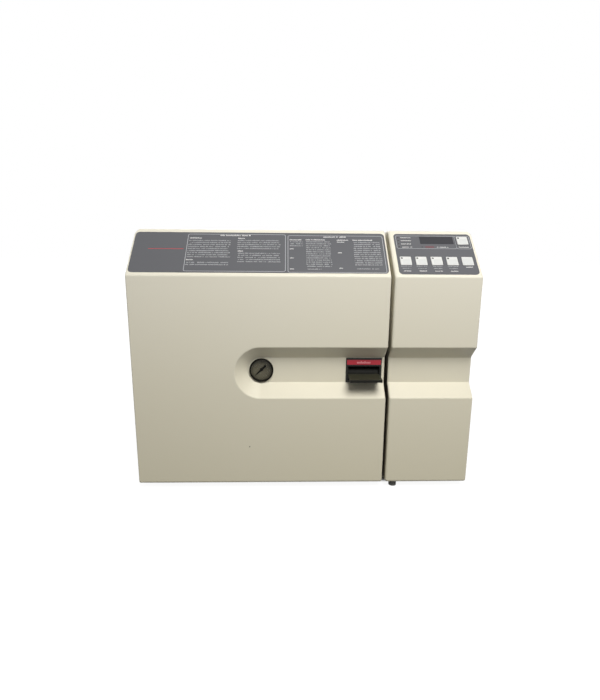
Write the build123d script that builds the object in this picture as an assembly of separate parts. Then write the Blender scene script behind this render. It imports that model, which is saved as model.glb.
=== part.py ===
from build123d import *
import os
from math import atan2, cos, hypot, radians, sin, sqrt

os.makedirs("parts", exist_ok=True)

# Table-top steam steriliser. Millimetres, X to the right, Y to the back, Z up.
# The origin is on the table, under the middle of the machine.

# Whole machine
lever_reach = 12
rear_reach = 14
cover_bottom = 10
front_height = 320
slope_run = 66
slope_rise = 64

# Front mouldings
hinge_side = 41.5
latch_side = 39.5
column_width = 128
seam_gap = 5
parting_gap = 3
moulding_depth = 84
moulding_wall = 4
door_edge_radius = 2.2
column_edge_radius = 3.5
door_crown_radius = 11
seam_crown_radius = 4
column_crown_radius = 10
crown_rise = 1
bend_radius = 5
brow_radius = 6
chin_radius = 4

# Recess across the front
recess_height = 177
recess_outer = 39
recess_inner = 19.5
recess_depth = 19.5
recess_mouth_radius = 3
recess_floor_radius = 2

# Labels and keys on the slope
label_thickness = 0.8
label_sink = 0.6
label_corner = 6
label_foot = 5
label_run = 80.5
door_label_side = 2.6
column_label_side = 6.8
column_label_width = 116.7
key_size = 16.2
key_pitch = 22.75
key_corner = 1
key_start = 11.2
key_row_foot = 22
start_key_foot = 63.8
key_stand = 0.5
key_body = 3.35
key_clearance = 0.3
program_keys = 4
dome_height = 0.3
dome_radius = 5
board_thickness = 1.6
board_margin = 4
window_before_key = 5.9
window_width = 50.7
window_foot = 64.5
window_run = 15.4
window_ledge = 2
window_thickness = 1.4
digit_block = 2
lamp_radius = 1.1
lamp_start = 13
lamp_foot = 58.3
lamp_pitch = 6.5
cycle_lamp_start = 47.5

# Case
case_inset = 7
case_drop = 6
case_foot = 14
sheet = 1.2
case_bend = 8
bulkhead_thickness = 3
pan_flange = 22
wrap_return = 12
corner_ease = 0.7
foot_radius = 18
foot_inset = 35
foot_front = 26
foot_back = 30
column_foot_radius = 6
column_foot_side = 14.5
column_foot_back = 13
vent_length = 60
vent_width = 4
vent_pitch = 12
vent_count = 10

# Case screws
screw_head = 4.5
screw_head_height = 2.2
screw_radius = 2
screw_length = 6
screw_clearance = 0.2
screw_height = 13
screws_along_side = 3
screw_end_margin = 24

# Chamber
chamber_radius = 127
chamber_wall = 3
chamber_straight = 407
dome_depth = 40
dome_space = 64
flange_width = 21
flange_thickness = 8
shell_clearance = 4
band_thickness = 3.2
band_width = 60
band_gap = 0.2
insulation_thickness = 18
insulation_end = 12
saddle_thickness = 4
saddle_half_width = 90
saddle_top = 75
saddle_from_dome = 61
port_radius = 8
port_stand = 15
port_inset = 27
port_angles = (-90, -53, 127)

# Tray rack and trays
rack_inset = 42
rack_sheet = 1.2
rack_back = 43
rack_front = 24
rack_above = 48
rail_width = 9
rail_thickness = 1.2
tray_levels = (-46, 6)
tray_short = 20
tray_depth = 16
tray_sheet = 1.2
tray_rim = 9
tray_clearance = 1
rack_bar_radius = 2.5
rack_seat_gap = 0.3

# Door inside
liner_thickness = 2
liner_clearance = 2.5
strongback_thickness = 12
strongback_height = 104
strongback_rail = 14
strongback_rail_height = 290
plate_inset = 5
plate_thickness = 12
plate_gap = 2
plate_lip = 2
gasket_inset = 7
gasket_width = 12
gasket_gap = 0.3
gasket_space = 0.5
stud_radius = 4
stud_clearance = 0.3
stud_depth = 7
stud_head = 7.5
stud_head_height = 5
stud_across = 45
stud_up = 35
washer_radius = 10
post_radius = 5
post_inset = 6

# Door hinges
hinge_set_in = 5
hinge_forward = 1.5
barrel_radius = 5
pin_radius = 3
pin_clearance = 0.05
pin_stand = 2
pin_head = 4.5
leaf_thickness = 3
leaf_reach = 44
hinge_height = 50
knuckle_share = 16
knuckle_gap = 0.3
barrel_clearance = 1
hinge_low = 60
hinge_high = 290

# Pressure gauge
bezel_radius = 18.2
bezel_stand = 3
bezel_lip = 15.7
gauge_radius = 17.7
gauge_length = 22.5
gauge_fit = 0.3
dial_radius = 16.3
dial_thickness = 0.8
dial_depth = 3.3
lens_radius = 16.5
lens_thickness = 1.5
lens_depth = 1
gauge_bore = 16.7
needle_thickness = 0.5
needle_length = 13.2
needle_tail = 9
needle_half = 1.6
needle_hub = 2.4
needle_lift = 0.6
spindle_radius = 0.8
spindle_clearance = 0.05
needle_rest = 44
stem_radius = 5
stem_clearance = 1

# Door latch
latch_margin = 3.5
latch_width = 54.4
pocket_wall = 1.9
pocket_rise = 35.4
pocket_drop = 17.7
frame_thickness = 1.5
frame_open_top = 6
frame_open_foot = 16.5
frame_margin = 1.3
label_strip = 7.4
label_strip_margin = 1.5
label_strip_sheet = 0.4
latch_fit = 0.3
axle_radius = 4
axle_clearance = 0.05
axle_behind = 15
axle_drop = 9
drum_radius = 13
drum_tail = 6.5
blade_thickness = 4.5
blade_above = 2
hook_place = 29.5
hook_width = 6
hook_hub = 8
hook_arm = 8
hook_arm_drop = 5
hook_tooth = 5.5
hook_rise = 3.5
hook_past = 0.5
bar_radius = 3.5
bar_clearance = 0.8
bar_to_tooth = 1
keeper_gap = 3.5
keeper_leg = 3
keeper_base = 4
keeper_overhang = 4
keeper_up = 16
keeper_slot_side = 1
hook_swing = 24

# Water reservoir and its lid
tub_behind = 44
tub_width = 140
tub_length = 230
tub_height = 176
tub_wall = 2
tub_rim = 4
fill_width = 90
fill_length = 120
fill_front = 45
lid_margin = 6
lid_thickness = 5.2
lid_gap = 0.3
lid_skirt = 4
lid_skirt_wall = 2
lid_play = 2
lid_axis_back = 10
lid_barrel = 2.6
lid_pin = 1.5
lid_barrel_length = 50
lid_ear = 10
lid_ear_radius = 2.9
lid_ear_gap = 0.3

# Rear fittings
relief_hex = 11
relief_hex_length = 5
relief_bonnet = 8
relief_bonnet_length = 4
relief_pipe = 6
relief_ear = 2.5
relief_ear_half = 6.4
relief_axis_up = 10
relief_axis_back = 10.6
relief_lever_sheet = 2
relief_lever_length = 36
relief_hub = 2.6
relief_pin = 1.5
relief_gap = 0.4
drain_side = 88
drain_z = 60
drain_body = 9
drain_body_length = 7
drain_spout = 3
drain_spout_drop = 18
drain_knob_radius = 6
drain_knob_length = 6.7
drain_handle = 26
drain_gap = 0.3
drain_stem = 2.5
inlet_side = 58
inlet_z = 72
inlet_width = 32
inlet_height = 60
inlet_flange = 2.5
inlet_body_depth = 32
socket_width = 24
socket_height = 18
socket_depth = 17
socket_drop = 14
socket_pin = 2
socket_pin_height = 4
rocker_width = 13.4
rocker_half = 8.5
rocker_rise = 17
rocker_tilt = 8
rocker_round = 9.2
rocker_gap = 0.4
rocker_pin = 1
fuse_side = 98
fuse_radius = 7
fuse_length = 9
fuse_body = 5
fuse_body_depth = 22
fuse_pitch = 26
hole_fit = 0.3

# Pipes and valves
pipe_radius = 3.2
pipe_bend = 12
valve_side = 3
valve_fill_behind = 114
valve_drain_behind = 174
valve_body = 30
valve_body_height = 24
valve_coil = 34
valve_coil_height = 40
fill_pipe_side = 48
return_pipe_side = 73
fill_turn_side = 67
drain_turn_side = 52
fill_turn_behind = 32
drain_turn_behind = 17
pipe_floor = 12

# Electrical parts
transformer_width = 76
transformer_length = 84
transformer_height = 64
transformer_side = 28
transformer_back = 66
coil_width = 44
coil_height = 40
coil_overhang = 12
board_length = 180
board_height = 140
board_back = 126
board_foot = 46
standoff_radius = 3
standoff_length = 11

# Places worked out from the sizes above
flange_radius = chamber_radius + flange_width
door_width = hinge_side + 2 * flange_radius + latch_side
front_width = door_width + seam_gap + column_width
front_stack = lever_reach + moulding_depth + parting_gap - flange_thickness
chamber_stack = chamber_straight + dome_depth + dome_space
overall_depth = front_stack + chamber_stack + rear_reach
half_width = front_width / 2
front_y = -overall_depth / 2 + lever_reach
rear_y = overall_depth / 2 - rear_reach
bend_z = cover_bottom + front_height
top_z = bend_z + slope_rise
slope_angle = atan2(slope_rise, slope_run)
slope_length = hypot(slope_run, slope_rise)
door_left = -half_width
door_right = door_left + door_width
column_left = door_right + seam_gap
column_right = half_width
door_back = front_y + moulding_depth
case_front = door_back + parting_gap
recess_z = cover_bottom + recess_height
recess_floor = front_y + recess_depth
recess_back = recess_floor + moulding_wall
axis_x = door_left + hinge_side + flange_radius
axis_z = recess_z
case_half = half_width - case_inset
case_top = top_z - case_drop
case_inside = case_half - sheet
case_ceiling = case_top - sheet
case_floor = case_foot + sheet
bulkhead_back = case_front + bulkhead_thickness
panel_front = rear_y - sheet
plate_radius = flange_radius - plate_inset
gasket_outer = flange_radius - gasket_inset
gasket_inner = gasket_outer - gasket_width
insulation_radius = chamber_radius + chamber_wall + insulation_thickness
port_circle = chamber_radius - port_inset
rack_half_width = chamber_radius - rack_inset
rack_length = chamber_straight - rack_front - rack_back
tray_length = rack_length - tray_short
tub_front = rear_y - tub_behind - tub_length
drain_x = column_left + drain_side
inlet_x = -case_half + inlet_side
fuse_x = -case_half + fuse_side
valve_x = column_left + valve_side
valve_fill_y = rear_y - valve_fill_behind
valve_drain_y = rear_y - valve_drain_behind
fill_pipe_x = column_left + fill_pipe_side
return_pipe_x = column_left + return_pipe_side
fill_turn_x = column_left - fill_turn_side
drain_turn_x = column_left - drain_turn_side
fill_turn_y = rear_y - fill_turn_behind
drain_turn_y = rear_y - drain_turn_behind
transformer_x = column_left + transformer_side
transformer_y = bulkhead_back + transformer_back
board_front = bulkhead_back + board_back
slope = Plane(origin=(0, front_y, bend_z), x_dir=(1, 0, 0), z_dir=(0, -sin(slope_angle), cos(slope_angle)))

# Small helpers


def block(x0, x1, y0, y1, z0, z1):
    """Box between two corners"""
    middle = ((x0 + x1) / 2, (y0 + y1) / 2, (z0 + z1) / 2)
    return Pos(*middle) * Box(x1 - x0, y1 - y0, z1 - z0)


def rod_x(radius, x0, x1, y, z):
    """Round bar along X"""
    return Pos((x0 + x1) / 2, y, z) * Rot(0, 90, 0) * Cylinder(radius, x1 - x0)


def rod_y(radius, y0, y1, x, z):
    """Round bar along Y"""
    return Pos(x, (y0 + y1) / 2, z) * Rot(-90, 0, 0) * Cylinder(radius, y1 - y0)


def rod_z(radius, z0, z1, x, y):
    """Round bar along Z"""
    return Pos(x, y, (z0 + z1) / 2) * Cylinder(radius, z1 - z0)


def prism_x(outline, x0, x1):
    """Outline drawn in Y and Z, drawn out along X"""
    return Pos(x0, 0, 0) * extrude(Plane.YZ * outline, amount=x1 - x0, dir=(1, 0, 0))


def prism_y(outline, y0, y1):
    """Outline drawn in X and Z, drawn out along Y"""
    return Pos(0, y0, 0) * extrude(Plane.XZ * outline, amount=y1 - y0, dir=(0, 1, 0))


def joined(pieces):
    """All the pieces fused into one shape"""
    whole = pieces[0]
    for piece in pieces[1:]:
        whole = whole + piece
    return whole


def on_slope(shape):
    """Shape drawn as across, up the slope and out of it, set on the slope"""
    return slope.location * shape


def plate_on_slope(x0, x1, s0, s1, n0, n1, corner):
    """Flat plate with rounded corners on the slope"""
    outline = Pos((x0 + x1) / 2, (s0 + s1) / 2) * RectangleRounded(x1 - x0, s1 - s0, corner)
    return on_slope(Pos(0, 0, n0) * extrude(outline, amount=n1 - n0))


# Front mouldings


def outline_points(inset, back):
    """Side outline of a front moulding, drawn in by a wall"""
    bend_drop = inset * (1 - sin(slope_angle)) / cos(slope_angle)
    rise = slope_rise - inset
    brow_y = front_y + (rise * cos(slope_angle) + inset) / sin(slope_angle)
    return [
        (front_y + inset, cover_bottom + inset),
        (front_y + inset, bend_z - bend_drop),
        (brow_y, top_z - inset),
        (back, top_z - inset),
        (back, cover_bottom + inset),
    ]


def crown_corner(side, centre, radius, back):
    """What is taken off a top corner to round it; the round meets the top at a shallow angle"""
    middle = top_z - radius + crown_rise
    corner = block(min(side, centre), max(side, centre), front_y - 1, back + 1, middle, top_z + 1)
    return corner - rod_y(radius, front_y - 2, back + 2, centre, middle)


def along_side(solid, side, radius, back):
    """Edges of a moulding's side that are rounded"""
    found = []
    for edge in solid.edges():
        on_side = all(abs(edge.position_at(share).X - side) < radius / 100 for share in (0.2, 0.5))
        upright = edge.bounding_box().size
        in_front = edge.position_at(0.5).Y < back - radius / 10
        smooth = upright.Z < radius / 100 and edge.position_at(0.5).Z > bend_z
        if on_side and in_front and not smooth:
            found.append(edge)
    return found


def moulding_block(x0, x1, back, edge_radius, left_crown, right_crown):
    """Solid front moulding with its rounded edges"""
    points = outline_points(0, back)
    outline = Polygon(*points, align=None)
    for (y, z), radius in zip(points, (chin_radius, bend_radius, brow_radius)):
        corner = [v for v in outline.vertices() if hypot(v.X - y, v.Y - z) < radius / 10]
        outline = fillet(corner, radius)
    solid = prism_x(outline, x0, x1)
    solid = solid - crown_corner(x0, x0 + left_crown, left_crown, back)
    solid = solid - crown_corner(x1, x1 - right_crown, right_crown, back)
    for side in (x0, x1):
        solid = fillet(along_side(solid, side, edge_radius, back), edge_radius)
    return solid


def moulding_cavity(x0, x1, back):
    """Hollow of a front moulding, open at the back"""
    outline = Polygon(*outline_points(moulding_wall, back + moulding_wall), align=None)
    return prism_x(outline, x0 + moulding_wall, x1 - moulding_wall)


def recess_shape(x0, x1, wall, round_end):
    """The recess across the front, grown by a wall"""
    flare = (recess_outer - recess_inner) / recess_depth
    mouth_y = front_y - 1
    end_y = recess_floor + wall

    def half(y):
        return recess_outer + wall * sqrt(1 + flare**2) - flare * (y - front_y)

    outline = Polygon(
        (mouth_y, recess_z - half(mouth_y)),
        (mouth_y, recess_z + half(mouth_y)),
        (end_y, recess_z + half(end_y)),
        (end_y, recess_z - half(end_y)),
        align=None,
    )
    shape = prism_x(outline, x0, x1)
    if round_end:
        cone = Cone(half(mouth_y), half(end_y), end_y - mouth_y)
        shape = shape + Pos(x0, (mouth_y + end_y) / 2, recess_z) * Rot(-90, 0, 0) * cone
    return shape


def across_at(solid, y):
    """Edges of the recess that lie in one upright plane across the front"""
    found = []
    for edge in solid.edges():
        level = all(abs(edge.position_at(share).Y - y) < 0.01 for share in (0.1, 0.5, 0.9))
        inside = abs(edge.position_at(0.5).Z - recess_z) < recess_outer + 1
        if level and inside and edge.bounding_box().size.X > recess_inner / 2:
            found.append(edge)
    return found


def moulding_front(x0, x1, back, radius, crowns, recess_start, round_end):
    """Solid moulding with the recess sunk in its front, all edges rounded"""
    outer = moulding_block(x0, x1, back, radius, *crowns)
    tool = recess_shape(recess_start, x1 + recess_outer, 0, round_end)
    tool = fillet(across_at(tool, recess_floor), recess_floor_radius)
    body = outer - tool
    return fillet(across_at(body, front_y), recess_mouth_radius)


# Chamber axis pieces


def disc(radius, y0, y1):
    """Round plate on the chamber's axis"""
    return rod_y(radius, y0, y1, axis_x, axis_z)


flange_front = case_front - flange_thickness
gasket_seat = flange_front - gasket_gap - (plate_gap + plate_lip)
plate_back = gasket_seat
plate_front = plate_back - plate_thickness
strongback_back = plate_front - plate_gap
strongback_front = strongback_back - strongback_thickness
strongback_low = axis_z - strongback_height / 2
strongback_high = axis_z + strongback_height / 2
liner_front = door_back - liner_thickness
liner_hole = flange_radius + liner_clearance
door_inside_left = door_left + moulding_wall
door_inside_right = door_right - moulding_wall
liner_low = cover_bottom + moulding_wall
liner_high = top_z - moulding_wall

# Hinge places
hinge_x = door_left + hinge_set_in
hinge_y = door_back + hinge_forward
leaf_out = door_inside_left
leaf_in = leaf_out + leaf_thickness
leaf_start = hinge_y - barrel_radius - barrel_clearance / 2
leaf_end = hinge_y - leaf_reach
case_leaf_in = -case_half
case_leaf_out = case_leaf_in - leaf_thickness
case_leaf_start = hinge_y + barrel_radius + barrel_clearance / 2
case_leaf_end = hinge_y + leaf_reach
hinge_starts = (hinge_low, hinge_high)


hinge_room = pin_stand + knuckle_gap + barrel_clearance


def hinge_relief():
    """Room for the two hinge barrels and their pins"""
    room = []
    for low in hinge_starts:
        high = low + hinge_height + hinge_room
        reach = barrel_radius + barrel_clearance
        room.append(rod_z(reach, low - hinge_room, high, hinge_x, hinge_y))
    return joined(room)


def hinge_notch(x0, x1):
    """Notch across the door's left wall and liner beside each barrel"""
    notch = []
    for low in hinge_starts:
        high = low + hinge_height + hinge_room
        reach = barrel_radius + barrel_clearance
        notch.append(block(x0, x1, hinge_y - reach, door_back + 1, low - hinge_room, high))
    return joined(notch)


# Latch places
latch_right = door_right - latch_margin
latch_left = latch_right - latch_width
axle_y = recess_floor + axle_behind
axle_z = axis_z - axle_drop
pocket_left = latch_left
pocket_right = latch_right - frame_margin * 2
pocket_low = axis_z - pocket_drop
pocket_high = pocket_low + pocket_rise
frame_front = recess_floor - frame_thickness
open_left = pocket_left + pocket_wall - latch_fit
open_right = pocket_right - pocket_wall + latch_fit
open_low = axis_z - frame_open_foot
open_high = axis_z + frame_open_top
hook_left = latch_left + hook_place
hook_right = hook_left + hook_width
tooth_back = door_back + hook_past
tooth_front = tooth_back - hook_tooth
arm_high = axle_z - hook_arm_drop
arm_low = arm_high - hook_arm
tooth_high = arm_high + hook_rise
bar_y = tooth_front - bar_to_tooth - bar_radius
bar_z = tooth_high + bar_clearance + bar_radius
leg_left = hook_left - keeper_gap
leg_right = hook_right + keeper_gap
slot_low = bar_z - bar_radius - hook_swing
slot_high = bar_z + bar_radius + keeper_leg + keeper_slot_side * 3


def keeper_slot(y0, y1):
    """Slot that the keeper and the hook pass through"""
    side = keeper_leg + keeper_slot_side
    return block(leg_left - side, leg_right + side, y0, y1, slot_low, slot_high)


def door_cover():
    hollow = moulding_cavity(door_left, door_right, door_back)
    hollow = hollow - recess_shape(axis_x, door_right + 1, moulding_wall, True)
    crowns = (door_crown_radius, seam_crown_radius)
    body = moulding_front(door_left, door_right, door_back, door_edge_radius, crowns, axis_x, True)
    body = body - hollow
    body = body - rod_y(gauge_radius + gauge_fit, front_y, recess_back + 1, axis_x, axis_z)
    hole = block(
        pocket_left - latch_fit,
        pocket_right + latch_fit,
        recess_floor - 1,
        recess_back + 1,
        pocket_low - latch_fit,
        pocket_high + latch_fit,
    )
    body = body - hole
    body = body - hinge_notch(door_left - 1, door_inside_left + 1)
    return body - door_label(label_thickness - label_sink)


def door_label(proud):
    """The instruction plate; standing proud by less makes its rebate"""
    return plate_on_slope(
        door_left + door_label_side,
        door_right - door_label_side,
        label_foot,
        label_foot + label_run,
        -label_sink,
        proud,
        label_corner,
    )


def door_liner():
    sheet_metal = block(
        door_inside_left, door_inside_right, liner_front, door_back, liner_low, liner_high
    )
    sheet_metal = sheet_metal - disc(liner_hole, liner_front - 1, door_back + 1)
    sheet_metal = sheet_metal - keeper_slot(liner_front - 1, door_back + 1)
    return sheet_metal - hinge_notch(door_inside_left - 1, hinge_x + barrel_radius + barrel_clearance)


post_places = (
    (leaf_in + strongback_rail, strongback_low + post_inset + post_radius),
    (leaf_in + strongback_rail, strongback_high - post_inset - post_radius),
    (door_inside_right - post_inset - post_radius, strongback_low + post_inset),
    (door_inside_right - post_inset - post_radius, strongback_high - post_inset - post_radius),
)


def liner_posts():
    """Distance posts between the strongback and the liner"""
    return joined([rod_y(post_radius, strongback_back, liner_front, x, z) for x, z in post_places])


stud_places = [
    (axis_x + across, axis_z + up)
    for across in (-stud_across, stud_across)
    for up in (-stud_up, stud_up)
]


def strongback():
    """Bar across the door with the rail that carries the hinge leaves"""
    bar = block(
        leaf_in,
        door_inside_right - moulding_wall / 2,
        strongback_front,
        strongback_back,
        strongback_low,
        strongback_high,
    )
    rail_low = hinge_low - barrel_clearance
    rail = block(
        leaf_in,
        leaf_in + strongback_rail,
        strongback_front,
        strongback_back,
        rail_low,
        rail_low + strongback_rail_height,
    )
    whole = bar + rail
    whole = whole - disc(stem_radius + stem_clearance, strongback_front - 1, strongback_back + 1)
    for x, z in stud_places:
        whole = whole - rod_y(stud_radius + stud_clearance, strongback_front - 1, strongback_back + 1, x, z)
    slot = block(
        hook_left - keeper_gap + 0.5,
        hook_right + keeper_gap - 0.5,
        strongback_front - 1,
        strongback_back + 1,
        arm_low - hook_swing,
        axle_z + 2,
    )
    return whole - slot


def pressure_plate():
    plate = disc(plate_radius, plate_front, plate_back)
    plate = plate + disc(gasket_inner - gasket_space, plate_back, plate_back + plate_lip)
    for x, z in stud_places:
        hole = rod_y(stud_radius + pin_clearance, plate_front - 1, plate_front + stud_depth, x, z)
        plate = plate - hole
    return plate


def plate_fixings():
    studs = []
    for x, z in stud_places:
        head = rod_y(stud_head, strongback_front - stud_head_height, strongback_front, x, z)
        stud = rod_y(stud_radius, strongback_front, plate_front + stud_depth - 1, x, z)
        washer = rod_y(washer_radius, strongback_back, plate_front, x, z)
        studs.append(head + stud + washer)
    return Compound(children=studs)


def door_gasket():
    front = plate_back
    back = flange_front - gasket_gap
    ring = disc(gasket_outer, front, back)
    return ring - disc(gasket_inner, front - 1, back + 1)


def hinge_case_leaves():
    leaves = []
    for low in hinge_starts:
        high = low + hinge_height
        leaf = block(case_leaf_out, case_leaf_in, case_leaf_start, case_leaf_end, low, high)
        for z0, z1 in ((low, low + knuckle_share), (high - knuckle_share, high)):
            leaf = leaf + rod_z(barrel_radius, z0, z1, hinge_x, hinge_y)
            leaf = leaf + block(case_leaf_out, case_leaf_in, hinge_y, case_leaf_start, z0, z1)
        leaves.append(leaf - rod_z(pin_radius + pin_clearance, low - 1, high + 1, hinge_x, hinge_y))
    return Compound(children=leaves)


def hinge_door_leaves():
    leaves = []
    for low in hinge_starts:
        high = low + hinge_height
        z0 = low + knuckle_share + knuckle_gap
        z1 = high - knuckle_share - knuckle_gap
        leaf = block(leaf_out, leaf_in, leaf_end, leaf_start, low, high)
        leaf = leaf + rod_z(barrel_radius, z0, z1, hinge_x, hinge_y)
        leaf = leaf + block(leaf_out, leaf_in, leaf_start, hinge_y, z0, z1)
        leaves.append(leaf - rod_z(pin_radius + pin_clearance, low - 1, high + 1, hinge_x, hinge_y))
    return Compound(children=leaves)


def hinge_pins():
    pins = []
    for low in hinge_starts:
        high = low + hinge_height
        pin = rod_z(pin_radius, low - pin_stand, high + knuckle_gap, hinge_x, hinge_y)
        head = rod_z(pin_head, high + knuckle_gap, high + knuckle_gap + pin_stand, hinge_x, hinge_y)
        pins.append(pin + head)
    return Compound(children=pins)


# Pressure gauge
bezel_front = recess_floor - bezel_stand
lens_front = bezel_front + lens_depth + 1
dial_front = recess_floor + dial_depth - dial_thickness
gauge_back = recess_floor + gauge_length


def gauge_case():
    case = disc(bezel_radius, bezel_front, recess_floor) + disc(gauge_radius, recess_floor, gauge_back)
    case = case + disc(stem_radius, gauge_back, plate_front)
    case = case - disc(bezel_lip, bezel_front - 1, lens_front)
    return case - disc(gauge_bore, lens_front, dial_front + dial_thickness)


def gauge_dial():
    dial = disc(dial_radius, dial_front, dial_front + dial_thickness)
    return dial - disc(spindle_radius + spindle_clearance, dial_front - 1, dial_front + dial_thickness + 1)


def gauge_lens():
    return disc(lens_radius, lens_front, lens_front + lens_thickness)


def gauge_needle():
    front = dial_front - needle_lift - needle_thickness
    back = dial_front - needle_lift
    outline = Polygon(
        (-needle_tail, -needle_half),
        (-needle_tail, needle_half),
        (0, needle_half),
        (needle_length, needle_half / 4),
        (needle_length, -needle_half / 4),
        (0, -needle_half),
        align=None,
    )
    turned = Rot(0, 0, 180 + needle_rest) * outline
    pointer = prism_y(Pos(axis_x, axis_z) * turned, front, back)
    pointer = pointer + disc(needle_hub, front - needle_lift / 2, back)
    return pointer + disc(spindle_radius, back, dial_front + dial_thickness - needle_lift / 2)


# Door latch


def latch_pocket():
    frame = block(
        pocket_left - frame_margin,
        pocket_right + frame_margin,
        frame_front,
        recess_floor,
        pocket_low - frame_margin,
        pocket_high + frame_margin,
    )
    frame = frame - block(open_left, open_right, frame_front - 1, recess_floor + 1, open_low, open_high)
    cheeks = []
    for x0 in (pocket_left, pocket_right - pocket_wall):
        cheeks.append(block(x0, x0 + pocket_wall, recess_floor, strongback_front, pocket_low, pocket_high))
    roof = block(
        pocket_left, pocket_right, recess_floor, strongback_front, pocket_high - pocket_wall, pocket_high
    )
    whole = frame + joined(cheeks) + roof
    bore = rod_x(axle_radius + axle_clearance, pocket_left - 1, pocket_right + 1, axle_y, axle_z)
    return whole - bore


def latch_label():
    high = pocket_high + frame_margin - label_strip_margin * 2
    return block(
        pocket_left - frame_margin + label_strip_margin,
        pocket_right + frame_margin - label_strip_margin,
        frame_front - label_strip_sheet,
        frame_front,
        high - label_strip,
        high,
    )


drum_left = pocket_left + pocket_wall + latch_fit
drum_right = pocket_right - pocket_wall - latch_fit
tip_y = front_y - lever_reach


def latch_lever():
    drum = rod_x(drum_radius, drum_left, drum_right, axle_y, axle_z)
    cut_y = axle_y + drum_tail
    spare = drum_radius + 1
    tail = block(drum_left - 1, drum_right + 1, cut_y, cut_y + drum_radius, axle_z - spare, axle_z + spare)
    top = axle_z + blade_above
    blade = block(drum_left, drum_right, tip_y, axle_y, top - blade_thickness, top)
    front_edges = [e for e in blade.edges() if abs(e.position_at(0.5).Y - tip_y) < 0.01]
    blade = fillet(front_edges, blade_thickness / 4)
    lever = drum - tail + blade
    room = block(
        hook_left - latch_fit,
        hook_right + latch_fit,
        axle_y - hook_hub - latch_fit,
        cut_y + 1,
        axle_z - drum_radius - 1,
        axle_z + drum_radius + 1,
    )
    lever = lever - room
    bore = rod_x(axle_radius + axle_clearance, drum_left - 1, drum_right + 1, axle_y, axle_z)
    return lever - bore


def latch_shaft():
    return rod_x(axle_radius, pocket_left, pocket_right, axle_y, axle_z)


def latch_hook():
    hub = rod_x(hook_hub, hook_left, hook_right, axle_y, axle_z)
    arm = block(hook_left, hook_right, axle_y, tooth_back, arm_low, arm_high)
    tooth = block(hook_left, hook_right, tooth_front, tooth_back, arm_low, tooth_high)
    bore = rod_x(axle_radius + axle_clearance, hook_left - 1, hook_right + 1, axle_y, axle_z)
    return hub + arm + tooth - bore


def latch_keeper():
    """Bar on two legs that the hook draws the door shut against"""
    bar = rod_x(bar_radius, leg_left - keeper_leg / 2, leg_right + keeper_leg / 2, bar_y, bar_z)
    pieces = [bar]
    for x0 in (leg_left - keeper_leg, leg_right):
        leg = block(
            x0,
            x0 + keeper_leg,
            bar_y - bar_radius,
            bulkhead_back + keeper_base,
            bar_z - bar_radius,
            bar_z + bar_radius,
        )
        pieces.append(leg)
    base = block(
        leg_left - keeper_leg - keeper_overhang,
        leg_right + keeper_leg + keeper_overhang,
        bulkhead_back,
        bulkhead_back + keeper_base,
        bar_z - keeper_up,
        bar_z + keeper_up,
    )
    return joined(pieces) + base


# Control column
keys_x = [column_left + key_start + key_pitch * n for n in range(program_keys + 1)]
board_top = -moulding_wall
dome_top = board_top + dome_height


def key_places():
    """Left edge and lower edge of every key, the start key last"""
    places = [(x, key_row_foot) for x in keys_x]
    places.append((keys_x[-1], start_key_foot))
    return places


def key_hole(x, s):
    spare = key_clearance
    return plate_on_slope(
        x - spare,
        x + key_size + spare,
        s - spare,
        s + key_size + spare,
        -moulding_wall - 2,
        2,
        key_corner,
    )


def key_cap(x, s):
    low = key_stand - key_body
    return plate_on_slope(x, x + key_size, s, s + key_size, low, key_stand, key_corner)


window_x = keys_x[-1] - window_before_key - window_width


def window_plate():
    top = label_thickness - label_sink
    return plate_on_slope(
        window_x,
        window_x + window_width,
        window_foot,
        window_foot + window_run,
        top - window_thickness,
        top,
        key_corner,
    )


def window_opening():
    top = label_thickness - label_sink
    inner = plate_on_slope(
        window_x + window_ledge,
        window_x + window_width - window_ledge,
        window_foot + window_ledge,
        window_foot + window_run - window_ledge,
        -moulding_wall - 2,
        top - window_thickness,
        key_corner,
    )
    return inner + window_plate()


lamp_places = [(column_left + lamp_start, lamp_foot + lamp_pitch * n) for n in range(4)]
lamp_places.append((column_left + cycle_lamp_start, lamp_foot))


def lamp_stub(x, s, radius, low, high):
    return on_slope(Pos(x, s, (low + high) / 2) * Cylinder(radius, high - low))


def column_label():
    left = column_left + column_label_side
    return plate_on_slope(
        left,
        left + column_label_width,
        label_foot - 1,
        label_foot + label_run,
        -label_sink,
        label_thickness - label_sink,
        label_corner,
    )


def slope_openings():
    openings = [key_hole(x, s) for x, s in key_places()]
    openings.append(window_opening())
    for x, s in lamp_places:
        openings.append(lamp_stub(x, s, lamp_radius + spindle_clearance, -moulding_wall - 2, 2))
    return openings


def column_cover():
    hollow = moulding_cavity(column_left, column_right, case_front)
    hollow = hollow - recess_shape(column_left - 1, column_right + 1, moulding_wall, False)
    start = column_left - recess_outer
    crowns = (seam_crown_radius, column_crown_radius)
    body = moulding_front(column_left, column_right, case_front, column_edge_radius, crowns, start, False)
    body = body - hollow - column_label()
    for opening in slope_openings():
        body = body - opening
    return body


def control_overlay():
    label = column_label()
    for opening in slope_openings():
        label = label - opening
    return label


def display_window():
    return window_plate()


def display_board():
    """Circuit board under the slope with its domes and digit block"""
    board = plate_on_slope(
        column_left + moulding_wall + board_margin,
        column_right - moulding_wall - board_margin,
        board_margin + moulding_wall,
        slope_length - board_margin * 2,
        board_top - board_thickness,
        board_top,
        key_corner,
    )
    for x, s in key_places():
        centre_x = x + key_size / 2
        centre_s = s + key_size / 2
        board = board + lamp_stub(centre_x, centre_s, dome_radius, board_top, dome_top)
    spare = window_ledge + key_clearance
    digits = plate_on_slope(
        window_x + spare,
        window_x + window_width - spare,
        window_foot + spare,
        window_foot + window_run - spare,
        board_top,
        board_top + digit_block,
        key_corner,
    )
    return board + digits


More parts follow.
